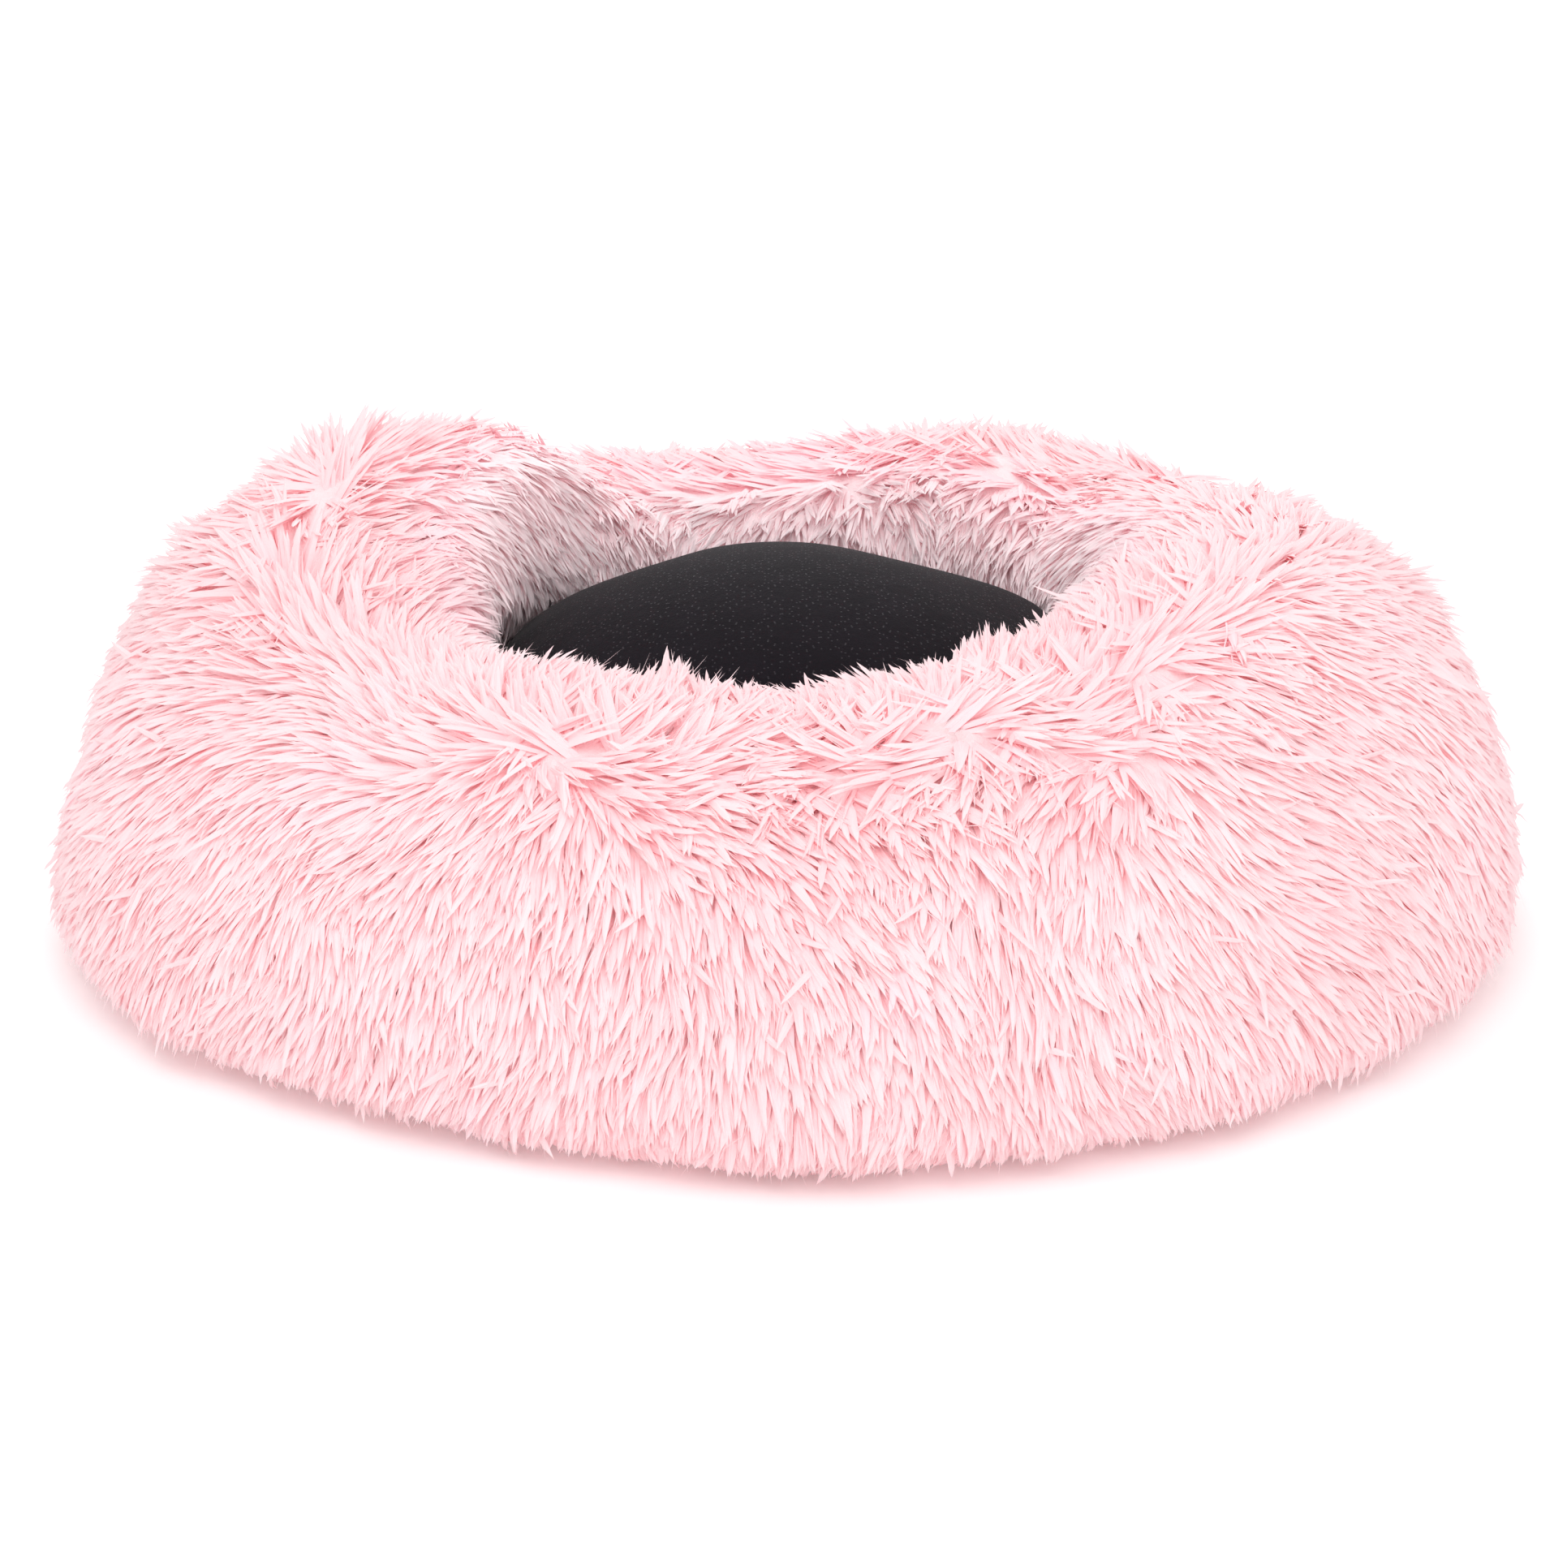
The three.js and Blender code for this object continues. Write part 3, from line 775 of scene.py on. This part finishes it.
def tuft_roots(shape, pile, first, last, start, rng):
    """Turns and shares of the roots of one panel's tufts, evenly spread and a little uneven."""
    rows = np.arange(first, last, pile.spacing / shape.length)
    turns, alongs = [], []
    for row in rows:
        radius = np.interp(row, shape.shares, shape.radii) * 0.96
        count = int(math.pi * radius / pile.spacing)
        turn = start + (np.arange(count) + rng.uniform(0.2, 0.8)) * math.pi / count
        turns.append(turn + rng.uniform(-0.4, 0.4, count) * pile.spacing / radius)
        alongs.append(row + rng.uniform(-0.4, 0.4, count) * pile.spacing / shape.length)
    turns, alongs = np.concatenate(turns), np.clip(np.concatenate(alongs), first, last)
    height = shape.point(turns, alongs)[:, 2]
    inside = alongs > shape.crest
    keep = ~(inside & (height < PILE_FLOOR)) | (rng.uniform(size=len(turns)) < HIDDEN_SHARE)
    keep &= ~(inside & (height < shape.floor + ROOT_CLEARANCE))
    return turns[keep], alongs[keep]


def bent_locks(lock, roots, out, combed, length, angles, width, thickness, bend, drift):
    """The lock's points along lines that leave each root steeply and bend over the way they are combed."""
    z = lock.points[:, 2]
    first, last = angles
    turning = last - first
    turning = np.where(np.abs(turning) < 1e-3, 1e-3, turning)[:, None]
    angle = first[:, None] + turning * z
    ahead = length[:, None] * (np.sin(angle) - np.sin(first)[:, None]) / turning
    up = length[:, None] * (np.cos(first)[:, None] - np.cos(angle)) / turning
    across = np.cross(out, combed)
    aside = length[:, None] * bend[:, None] * z**2 + width[:, None] * lock.points[:, 0]
    face = np.cos(angle)[..., None] * out[:, None] - np.sin(angle)[..., None] * combed[:, None]
    lift = (thickness[:, None] * lock.points[:, 1])[..., None] * face
    return (roots[:, None] + ahead[..., None] * combed[:, None] + up[..., None] * out[:, None]
            + aside[..., None] * across[:, None] + lift + drift[:, None] * z[None, :, None])


def keep_clear(places, shape, cushion):
    """Holds the pile above the floor, below its tallest tufts and out of the cushion."""
    height = soft_floor(places[..., 2], HAIR_GAP, FLOOR_EASE)
    places[..., 2] = PILE_TOP - soft_floor(PILE_TOP - height, 0.0, TOP_EASE)
    x, y = places[..., 0] - shape.centre[0], places[..., 1] - shape.centre[1]
    radius = np.hypot(x, y)
    rise = np.clip((places[..., 2] - cushion.seam_height) / (cushion.crown_top - cushion.seam_height), 0, 1)
    dome = cushion.rim_radius * np.sqrt(1 - rise**2)
    pushed = np.where(rise < 1, soft_floor(radius, dome + DOME_GAP, DOME_EASE), radius)
    share = pushed / np.maximum(radius, 1e-6)
    places[..., 0] = shape.centre[0] + x * share
    places[..., 1] = shape.centre[1] + y * share
    return places


def copies_mesh(name, batches):
    """One mesh of many copies of lock shapes: batches of (lock, places, dye shares).

    Its map holds each copy's dye across, whose highest shares pick the well's painted light, with its sides a
    hair apart, and the way up its length.
    """
    points, corners, totals, uvs, offset = [], [], [], [], 0
    for lock, places, dye in batches:
        count, size = places.shape[:2]
        flat = np.concatenate([np.array(f) for f in lock.faces])
        corners.append((flat[None] + offset + (np.arange(count) * size)[:, None]).ravel())
        totals.append(np.tile([len(f) for f in lock.faces], count))
        u = dye[:, None] * 0.94 + 0.02 + 0.02 * lock.side[None, :]
        v = lock.points[:, 2] * 0.97 + 0.015 * (np.abs(lock.side - 0.33) < 0.1)
        v = np.broadcast_to(v, (count, size))
        uvs.append(np.stack([u, v], -1).reshape(-1, 2))
        points.append(places.reshape(-1, 3))
        offset += count * size
    points, corners, totals, uvs = (np.concatenate(a) for a in (points, corners, totals, uvs))
    mesh = bpy.data.meshes.new(name)
    mesh.vertices.add(len(points))
    mesh.vertices.foreach_set("co", points.astype(np.float32).ravel())
    mesh.loops.add(len(corners))
    mesh.loops.foreach_set("vertex_index", corners.astype(np.int32))
    mesh.polygons.add(len(totals))
    mesh.polygons.foreach_set("loop_start", np.concatenate([[0], np.cumsum(totals)[:-1]]).astype(np.int32))
    mesh.polygons.foreach_set("loop_total", totals.astype(np.int32))
    mesh.update(calc_edges=True)
    layer = mesh.uv_layers.new(name="OFBake")
    layer.data.foreach_set("uv", uvs[corners].astype(np.float32).ravel())
    return mesh


# Width of the lamps' discs, half the width of the floor, and how far it lies under the bed
LAMP_SIZE, FLOOR_SIZE, FLOOR_DROP = 1.4, 12, 0.0004


def facing(place, away):
    """Puts a camera or a lamp at a place, with its back towards a direction."""
    return Matrix.Translation(place) @ away.to_track_quat("Z", "Y").to_matrix().to_4x4()


class PET_BED_OT_stage(bpy.types.Operator):
    """Makes the camera, the pale floor and the soft studio light"""

    bl_idname = "pet_bed.stage"
    bl_label = "Stage"

    def execute(self, context):
        scene, stage = context.scene, context.scene.pet_bed_stage
        scene.view_settings.view_transform = "Standard"
        scene.cycles.max_bounces = scene.cycles.diffuse_bounces = 20
        aim = Vector(stage.aim)
        away = Vector((0, -math.cos(stage.elevation), math.sin(stage.elevation)))
        lens = bpy.data.cameras.new("camera")
        lens.lens, lens.sensor_width = stage.lens, 36
        camera = bpy.data.objects.new("camera", lens)
        camera.matrix_world = facing(aim + away * stage.distance, away)
        scene.collection.objects.link(camera)
        scene.camera = camera
        self.light(scene, stage)
        self.lay_floor(scene)
        return {"FINISHED"}

    def light(self, scene, stage):
        world = bpy.data.worlds.new("Soft Box")
        scene.world = world
        world.use_nodes = True
        tree = world.node_tree
        tree.nodes.clear()
        path = add_node(tree, "ShaderNodeLightPath")
        seen = path.outputs["Is Camera Ray"]
        for ray in ("Is Glossy Ray", "Is Transmission Ray"):
            seen = reckon(tree, "MAXIMUM", seen, path.outputs[ray])
        soft, white = (add_node(tree, "ShaderNodeBackground", {"Color": (1, 1, 1, 1), "Strength": strength})
                       for strength in (stage.world, 1.0))
        both = add_node(tree, "ShaderNodeMixShader", {0: seen, 1: soft.outputs[0], 2: white.outputs[0]})
        add_node(tree, "ShaderNodeOutputWorld", {"Surface": both.outputs[0]})
        for name, place, power in (("key", (-0.35, -0.9, 1.9), stage.key),
                                   ("front_fill", (0.15, -1.4, 1.2), stage.fill),
                                   ("back_fill", (-0.1, 1.4, 1.3), 0.9 * stage.fill)):
            light = bpy.data.lights.new(name, "AREA")
            light.shape, light.size, light.energy = "DISK", LAMP_SIZE, power
            lamp = bpy.data.objects.new(name, light)
            lamp.matrix_world = facing(Vector(place), Vector(place))
            scene.collection.objects.link(lamp)

    def lay_floor(self, scene):
        bm = bmesh.new()
        bmesh.ops.create_grid(bm, x_segments=1, y_segments=1, size=FLOOR_SIZE,
                              matrix=Matrix.Translation((0, 0, -FLOOR_DROP)))
        mesh = bpy.data.meshes.new("floor")
        bm.to_mesh(mesh)
        bm.free()
        mesh.materials.append(material_once("Pale Floor", self.floor_shader))
        floor = bpy.data.objects.new("floor", mesh)
        scene.collection.objects.link(floor)

    def floor_shader(self, tree):
        """Pale and dull, and for the camera alone it glows more and more away from the bed."""
        path = add_node(tree, "ShaderNodeLightPath")
        away = add_node(tree, "ShaderNodeVectorMath", {0: object_place(tree)}, operation="LENGTH")
        far = add_node(tree, "ShaderNodeMapRange", {0: away.outputs["Value"], 1: 0.7, 2: 2.4,
                                                    3: 0.16, 4: 0.5})
        glow = reckon(tree, "MULTIPLY", path.outputs["Is Camera Ray"], far.outputs[0])
        return {"Base Color": (0.94, 0.94, 0.94, 1), "Roughness": 0.9, "Specular IOR Level": 0.0,
                "Emission Color": (1, 1, 1, 1), "Emission Strength": glow}


class PET_BED_OT_base(bpy.types.Operator):
    """Makes the grip cloth under the bed, its stitched binding, the wadding and the lining of the well"""

    bl_idname = "pet_bed.base"
    bl_label = "Base"

    def execute(self, context):
        ring, cushion = context.scene.pet_bed_ring, context.scene.pet_bed_cushion
        self.ring, self.shape = ring, RingShape(ring, ring.pile_depth)
        self.make_base_cloth(grip_cloth_material(cushion))
        self.make_binding(tape_material(cushion))
        self.make_wadding()
        self.make_lining(lining_material(cushion))
        return {"FINISHED"}

    def make_base_cloth(self, material):
        low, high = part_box("base_panel")
        outer = self.ring.foot_radius - self.ring.pile_depth - BASE_INSET
        edge = eased(outer, low.z, high.z)
        bm = turned(flat_round(low.z, high.z, np.linspace(0, outer - 0.006, 14), edge))
        settle_points(bm, self.shape)
        cloth = show(bm, "base_grip_cloth", material, "bed", ["base_panel"])
        self.flat_area(outer)

    def flat_area(self, radius):
        turn = np.linspace(0, 2 * np.pi, 181)
        rim = self.shape.settle(np.full_like(turn, radius), np.zeros_like(turn), turn)
        x, y = rim[:, 0], rim[:, 1]
        return float(abs((x[:-1] * y[1:] - x[1:] * y[:-1]).sum()) / 2)

    def make_binding(self, material):
        low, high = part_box("base_binding")
        outer = self.ring.foot_radius - self.ring.pile_depth - HAIR_GAP
        inner = outer - BINDING_WIDTH
        floor, top = low.z + HAIR_GAP, high.z
        profile = eased(outer, floor, top, TAPE_EASE) + eased(inner, top, floor, -TAPE_EASE)
        bm = turned(profile + profile[:1], steps=180)
        settle_points(bm, self.shape)
        show(bm, "base_binding_tape", material, "bed", ["base_binding"])
        self.make_stitches(outer, inner)

    def make_stitches(self, outer, inner):
        thread = woven_material("Dark Thread", (0.24, 0.22, 0.25), SEWING_THREADS)
        bm = bmesh.new()
        for row in (outer - STITCH_INSET, inner + STITCH_INSET):
            count = int(2 * math.pi * row / STITCH_PITCH)
            for i in range(count):
                turn = 2 * math.pi * i / count
                place = self.shape.settle(np.array(row), np.array(0.0), np.array(turn))
                aim = Matrix.Rotation(turn, 4, "Z") @ Matrix.Rotation(math.pi / 2, 4, "Y")
                bmesh.ops.create_cone(bm, cap_ends=True, segments=6, radius1=THREAD_RADIUS,
                                      radius2=THREAD_RADIUS, depth=2 * STITCH_HALF,
                                      matrix=Matrix.Translation((*place[:2], THREAD_RADIUS)) @ aim)
        show(bm, "base_binding_stitches", thread, "bed")

    def make_wadding(self):
        low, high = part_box("base_wadding")
        outer, middle = (high.x - low.x) / 2, (low.z + high.z) / 2
        half = (high.z - low.z) / 2
        angle = np.linspace(-math.pi / 2, math.pi / 2, 13)
        inset = half * WADDING_EDGE
        edge = [(outer - inset * (1 - math.cos(a)), middle + half * math.sin(a)) for a in angle]
        bm = turned(flat_round(low.z, high.z, np.linspace(0, outer - inset, 12)[:-1], edge))
        bmesh.ops.translate(bm, verts=bm.verts, vec=(*self.shape.centre, 0))
        for vert in bm.verts:
            dip = WADDING_DIP * (0.5 + 0.5 * float(wander(np.array(vert.co), DIP_SIZE, DIP_SEED)))
            vert.co.z += dip if vert.co.z < middle else -dip
        wadding = show(bm, "base_wadding_pad", wadding_material(), "bed", ["base_wadding"])

    def make_lining(self, material):
        low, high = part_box("well_floor_lining")
        outer = (high.x - low.x) / 2
        edge = eased(outer, low.z, high.z)
        bm = turned(flat_round(low.z, high.z, np.linspace(0, outer - 0.005, 10), edge))
        bmesh.ops.translate(bm, verts=bm.verts, vec=(*self.shape.centre, 0))
        lining = show(bm, "well_lining_cloth", material, "bed", ["well_floor_lining"])


class PET_BED_OT_ring(bpy.types.Operator):
    """Makes the ring's fibre filling and the dense under-pile of its four plush panels"""

    bl_idname = "pet_bed.ring"
    bl_label = "Filled Ring"

    def execute(self, context):
        ring, pile = context.scene.pet_bed_ring, context.scene.pet_bed_pile
        self.make_filling(ring)
        # The outer under-pile takes the root colour, painted shade down in the pile
        plush = {"outer": under_pile_material("Pink Under-Pile", pile.root_shade_colour),
                 # The well's under-pile is painted paler: painted light
                 "inner": under_pile_material("Painted-Light Well Under-Pile", pile.well_light_colour)}
        shapes = [RingShape(ring, depth) for depth in (pile.under_depth, ring.pile_depth)]
        last = shapes[0].crest_step
        for wall, side, after in PANELS:
            steps = slice(0, last + 1) if wall == "outer" else slice(last, None)
            face, back = (list(zip(shape.radii[steps], shape.heights[steps])) for shape in shapes)
            start = (ring.outer_seam if wall == "outer" else ring.inner_seam) + after
            bm = turned(face + back[::-1] + face[:1], start, math.pi, 90)
            settle_points(bm, shapes[0])
            bmesh.ops.holes_fill(bm, edges=[edge for edge in bm.edges if edge.is_boundary])
            bmesh.ops.recalc_face_normals(bm, faces=bm.faces)
            show(bm, f"{wall}_backing_{side}", plush[wall], "bed", [f"{wall}_fur_panel_{side}"])
        return {"FINISHED"}

    def make_filling(self, ring):
        shape = RingShape(ring, ring.pile_depth + CLEAR_GAP)
        heights = np.maximum(shape.heights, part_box("ring_fill")[0].z)
        profile = list(zip(shape.radii, heights))
        bm = turned(profile + profile[:1])
        settle_points(bm, shape)
        filling = show(bm, "ring_filling", wadding_material(), "bed", ["ring_fill"])


class PET_BED_OT_pile(bpy.types.Operator):
    """Grows the long pile on the four plush panels, a few pieces to each panel"""

    bl_idname = "pet_bed.pile"
    bl_label = "Plush Pile"

    def execute(self, context):
        scene = context.scene
        ring, pile, cushion = scene.pet_bed_ring, scene.pet_bed_pile, scene.pet_bed_cushion
        self.shape, self.pile, self.cushion = RingShape(ring, pile.under_depth), pile, cushion
        self.field = PileField(self.shape, pile)
        self.lock, self.fibre = LockShape(LOCK_RINGS), LockShape(FIBRE_RINGS)
        material = plush_material(pile)
        rng = np.random.default_rng(pile.seed)
        for wall, side, after in PANELS:
            start = (ring.outer_seam if wall == "outer" else ring.inner_seam) + after
            first, last = (FIRST_ROW, self.shape.crest) if wall == "outer" else (self.shape.crest, 1)
            turn, along = tuft_roots(self.shape, pile, first, last, start, rng)
            batches = self.grow(turn, along, rng)
            parts = SECTORS[wall]
            for part in range(parts):
                low = start + part * math.pi / parts
                after, before = turn >= low - 1e-9, turn < low + math.pi / parts
                chosen = (after | (part == 0)) & (before | (part == parts - 1))
                picked = [(lock, *(values[np.tile(chosen, times)] for values in copies))
                          for lock, times, *copies in batches]
                mesh = copies_mesh("pile", picked)
                show_mesh(mesh, f"{wall}_pile_{side}_{part + 1}", material, "bed",
                          [f"{wall}_fur_panel_{side}"], smooth=False)
        return {"FINISHED"}

    def grow(self, turn, along, rng):
        """Locks and thin strands of every tuft; strands of a tuft are drawn together at their tips."""
        pile, count = self.pile, len(turn)
        place, out, combed, length, tip, rise, slim = self.field.lie(turn, along, rng)
        across = np.cross(out, combed)
        dyed = 0.5 + 0.22 * wander(place, DYE_SWELL, pile.seed + 3) + 0.16 * rng.normal(size=count)
        radius = np.hypot(place[:, 0] - self.shape.centre[0], place[:, 1] - self.shape.centre[1])
        # How far a tuft is into the well, where its locks take the painted light of the paler well colour
        depth = (1 - smoothstep(radius, *WELL_LIGHT_RADII)) * (along > self.shape.crest)
        batches = []
        for lock, times, width in ((self.lock, pile.locks, pile.lock_width),
                                   (self.fibre, pile.fibres, pile.fibre_width)):
            def spread(values):
                return np.tile(values, (times,) + (1,) * (values.ndim - 1))
            # Roots beside each other across the tuft, then the way and the reach of each lock, a few astray
            total = count * times
            slot = np.repeat(np.arange(times), count) - (times - 1) / 2
            aside = (slot + rng.uniform(-0.35, 0.35, total)) * pile.spacing / times
            ahead = rng.uniform(-0.5, 0.5, total) * pile.spacing
            offset = spread(across) * aside[:, None] + spread(combed) * ahead[:, None]
            roots = spread(place) + offset - spread(out) * ROOT_DEPTH
            stray = (rng.uniform(size=total) < STRAY_SHARE) * rng.normal(size=total)
            sway = 0.05 * rng.normal(size=total) + 0.5 * stray
            way = unit(spread(combed) + spread(across) * sway[:, None])
            reach = spread(length) * (1 + 0.06 * rng.normal(size=total))
            # Its angles at the root and the tip, and half its width
            first = np.clip(spread(rise) + 0.10 * rng.normal(size=total), 0.15, 1.4)
            last = np.minimum(spread(tip) + 0.05 * rng.normal(size=total) + 0.4 * np.abs(stray), first)
            half = width / 2 * spread(slim)
            if lock is self.fibre:
                half, reach = np.where(stray == 0, half, 0.3 * half), np.where(stray == 0, reach, 1.2 * reach)
            places = bent_locks(lock, roots, spread(out), way, reach, (first, last),
                                half * rng.uniform(0.75, 1.25, total), half * rng.uniform(0.35, 0.5, total),
                                0.07 * rng.normal(size=total), -TIP_DRAW * offset)
            dye = DYE_TOP * np.clip(spread(dyed) + 0.12 * rng.normal(size=total), 0, 1)
            # In the well the dye share moves to the one that picks the painted light
            dye = dye + (WELL_LIGHT_DYE - dye) * spread(depth)
            batches.append((lock, times, keep_clear(places, self.shape, self.cushion), dye))
        return batches


class PET_BED_OT_cushion(bpy.types.Operator):
    """Makes the lift-out cushion, swollen by its filling, with its two cloths, filling and corded seam"""

    bl_idname = "pet_bed.cushion"
    bl_label = "Lift-Out Cushion"

    def execute(self, context):
        self.cushion = context.scene.pet_bed_cushion
        self.centre = Vector((*well_centre(), 0))
        form = self.swell(context, self.sewn_form())
        self.make_cloths(form)
        self.make_filling(form)
        self.make_welt()
        bpy.data.meshes.remove(form)
        return {"FINISHED"}

    def gather(self, bm):
        """Draws the cloth in at the puckers round the seam."""
        c = self.cushion
        even = np.array([v.co for v in bm.verts])
        radius = np.hypot(even[:, 0], even[:, 1])
        wave = (1 + np.cos(c.gathers * np.arctan2(even[:, 0], -even[:, 1]))) / 2
        near = smoothstep(radius, c.rim_radius / 2, c.rim_radius)
        share = 1 - c.gather_depth * wave * near / c.rim_radius
        for vert, s in zip(bm.verts, share):
            vert.co.x *= s
            vert.co.y *= s

    def sewn_form(self):
        """The cushion before it swells, a little smaller than it ends up."""
        c = self.cushion
        angle = np.linspace(0, np.pi / 2, 16)
        rim, top, base = c.rim_radius - CLEAR_GAP, c.crown_top - c.slack, c.base_height + c.slack
        crown = [(rim * math.cos(a), c.seam_height + (top - c.seam_height) * math.sin(a)) for a in angle]
        power = 2 / UNDERSIDE_SHARE
        under = [(rim * math.cos(a) ** power, c.seam_height + (base - c.seam_height) * math.sin(a) ** power)
                 for a in angle[::-1]]
        bm = turned(under + crown[1:], steps=4 * c.gathers)
        self.gather(bm)
        mesh = bpy.data.meshes.new("cushion_form")
        bm.to_mesh(mesh)
        bm.free()
        return mesh

    def swell(self, context, mesh):
        """Fills the sewn form by cloth simulation, held at its seam, and lays it flat on the lining."""
        c, scene = self.cushion, context.scene
        form = bpy.data.objects.new("cushion_form", mesh)
        scene.collection.objects.link(form)
        remesh = form.modifiers.new("Even Grid", "REMESH")
        remesh.mode, remesh.voxel_size = "VOXEL", c.voxel
        form = self.settled(context, form)
        before = np.array([v.co for v in form.data.vertices])
        held = form.vertex_groups.new(name="seam")
        at_seam = np.abs(before[:, 2] - c.seam_height) < 0.6 * c.voxel
        at_seam &= np.hypot(before[:, 0], before[:, 1]) > 0.9 * c.rim_radius
        held.add([int(i) for i in np.flatnonzero(at_seam)], 1.0, "REPLACE")
        cloth = form.modifiers.new("Filling", "CLOTH")
        cloth.settings.use_pressure = True
        cloth.settings.uniform_pressure_force = c.pressure
        cloth.settings.vertex_group_mass = "seam"
        cloth.settings.effector_weights.gravity = 0
        cloth.settings.shrink_min = -STRETCH
        cloth.point_cache.frame_start, cloth.point_cache.frame_end = 1, SWELL_FRAMES
        for number in range(1, SWELL_FRAMES + 1):
            scene.frame_set(number)
        seen = form.evaluated_get(context.evaluated_depsgraph_get())
        after = np.array([v.co for v in seen.data.vertices])
        form.modifiers.remove(cloth)
        scene.frame_set(1)
        move = after - before
        size = np.linalg.norm(move, axis=1, keepdims=True)
        before = before + move * np.minimum(1, SWELL_CAP / np.maximum(size, 1e-9))
        # The crown keeps its height, the underside is flat and the rim stays within the seam
        crown = before[:, 2] > c.seam_height
        height = before[:, 2] - c.seam_height
        height = np.where(crown, height * (c.crown_top - c.seam_height) / height.max(), height)
        before[:, 2] = soft_floor(c.seam_height + height, c.base_height, REST_EASE)
        radius = np.hypot(before[:, 0], before[:, 1])
        share = np.minimum(1, (c.rim_radius + RIM_PLAY) / np.maximum(radius, 1e-6))
        before[:, :2] *= share[:, None]
        before[:, :2] += np.array(self.centre)[:2]
        for x, y, reach, depth in DENTS:
            near = np.exp(-((before[:, 0] - x) ** 2 + (before[:, 1] - y) ** 2) / reach**2)
            before[:, 2] -= np.where(crown, depth * near, 0)
        form.data.vertices.foreach_set("co", before.astype(np.float32).ravel())
        finer = form.modifiers.new("Smooth", "SUBSURF")
        finer.levels = finer.render_levels = 1
        form = self.settled(context, form)
        result = form.data
        bpy.data.objects.remove(form)
        return result

    def settled(self, context, piece):
        """The piece with its modifiers applied, in place of the piece."""
        seen = piece.evaluated_get(context.evaluated_depsgraph_get())
        mesh = bpy.data.meshes.new_from_object(seen)
        bpy.data.objects.remove(piece)
        result = bpy.data.objects.new("cushion_form", mesh)
        context.scene.collection.objects.link(result)
        return result

    def cut_width(self, rise, power):
        """Width of the round of cloth gathered into one side of the casing, from seam over to seam."""
        angle = np.linspace(0, np.pi / 2, 60)
        across, up = self.cushion.rim_radius * np.cos(angle) ** power, rise * np.sin(angle) ** power
        return 2 * float(np.hypot(np.diff(across), np.diff(up)).sum())

    def make_cloths(self, form):
        c = self.cushion
        seam, gap = Vector((0, 0, c.seam_height)), Vector((0, 0, 2 * CLEAR_GAP))
        for name, upper, material, slot, node, width in (
                ("cushion_crown_cloth", True, grip_cloth_material(c), "anti_slip_cloth", "cushion_top_cloth",
                 self.cut_width(c.crown_top - c.seam_height, 1)),
                ("cushion_under_cloth", False, lining_material(c), "lining_cloth", "cushion_bottom_cloth",
                 self.cut_width(c.seam_height - c.base_height, 2 / UNDERSIDE_SHARE))):
            bm = bmesh.new()
            bm.from_mesh(form)
            bmesh.ops.bisect_plane(bm, geom=bm.verts[:] + bm.edges[:] + bm.faces[:], dist=1e-6,
                                   plane_co=seam + gap * (1 if upper else -1), plane_no=(0, 0, 1),
                                   clear_inner=upper, clear_outer=not upper)
            bmesh.ops.solidify(bm, geom=bm.faces[:], thickness=c.cloth)
            cloth = show(bm, name, material, "cushion", [node])

    def make_filling(self, form):
        c = self.cushion
        bm = bmesh.new()
        bm.from_mesh(form)
        bm.normal_update()
        for vert in bm.verts:
            vert.co -= vert.normal * (c.cloth + CLEAR_GAP)
        filling = show(bm, "cushion_filling", wadding_material(), "cushion",
                       ["cushion_fill"])

    def make_welt(self):
        c = self.cushion
        half = c.welt / 2
        middle = c.rim_radius + WELT_OUT - half
        angle = np.linspace(0, 2 * np.pi, 13)
        bm = turned([(middle + half * math.cos(a), c.seam_height + half * math.sin(a)) for a in angle],
                    steps=8 * c.gathers)
        self.gather(bm)
        bmesh.ops.translate(bm, verts=bm.verts, vec=self.centre)
        show(bm, "cushion_welt", tape_material(c), "cushion", ["cushion_seam_welt"])


class PET_BED_PT_panel(bpy.types.Panel):
    """Lists the bed's pieces and their sizes"""

    bl_idname = "PET_BED_PT_panel"
    bl_label = "Pet Bed"
    bl_space_type = "VIEW_3D"
    bl_region_type = "UI"
    bl_category = "Pet Bed"

    def draw(self, context):
        for holder, operators in (("stage", ("stage",)), ("ring", ("base", "ring")), ("pile", ("pile",)),
                                  ("cushion", ("cushion",))):
            box = self.layout.box()
            group = getattr(context.scene, "pet_bed_" + holder)
            for name in group.bl_rna.properties.keys():
                if name not in {"rna_type", "name"}:
                    box.prop(group, name)
            for name in operators:
                box.operator("pet_bed." + name)


GROUPS = {"pet_bed_ring": PetBedRing, "pet_bed_pile": PetBedPile, "pet_bed_cushion": PetBedCushion,
          "pet_bed_stage": PetBedStage}
CLASSES = (*GROUPS.values(), PET_BED_OT_stage, PET_BED_OT_base, PET_BED_OT_ring, PET_BED_OT_pile,
           PET_BED_OT_cushion, PET_BED_PT_panel)


def register():
    for kind in CLASSES:
        bpy.utils.register_class(kind)
    for name, kind in GROUPS.items():
        setattr(bpy.types.Scene, name, PointerProperty(type=kind))


def unregister():
    for name in GROUPS:
        delattr(bpy.types.Scene, name)
    for kind in reversed(CLASSES):
        bpy.utils.unregister_class(kind)


def main():
    register()
    bpy.ops.pet_bed.stage()
    bpy.ops.pet_bed.base()
    bpy.ops.pet_bed.ring()
    bpy.ops.pet_bed.pile()
    bpy.ops.pet_bed.cushion()


if __name__ == "__main__":
    main()
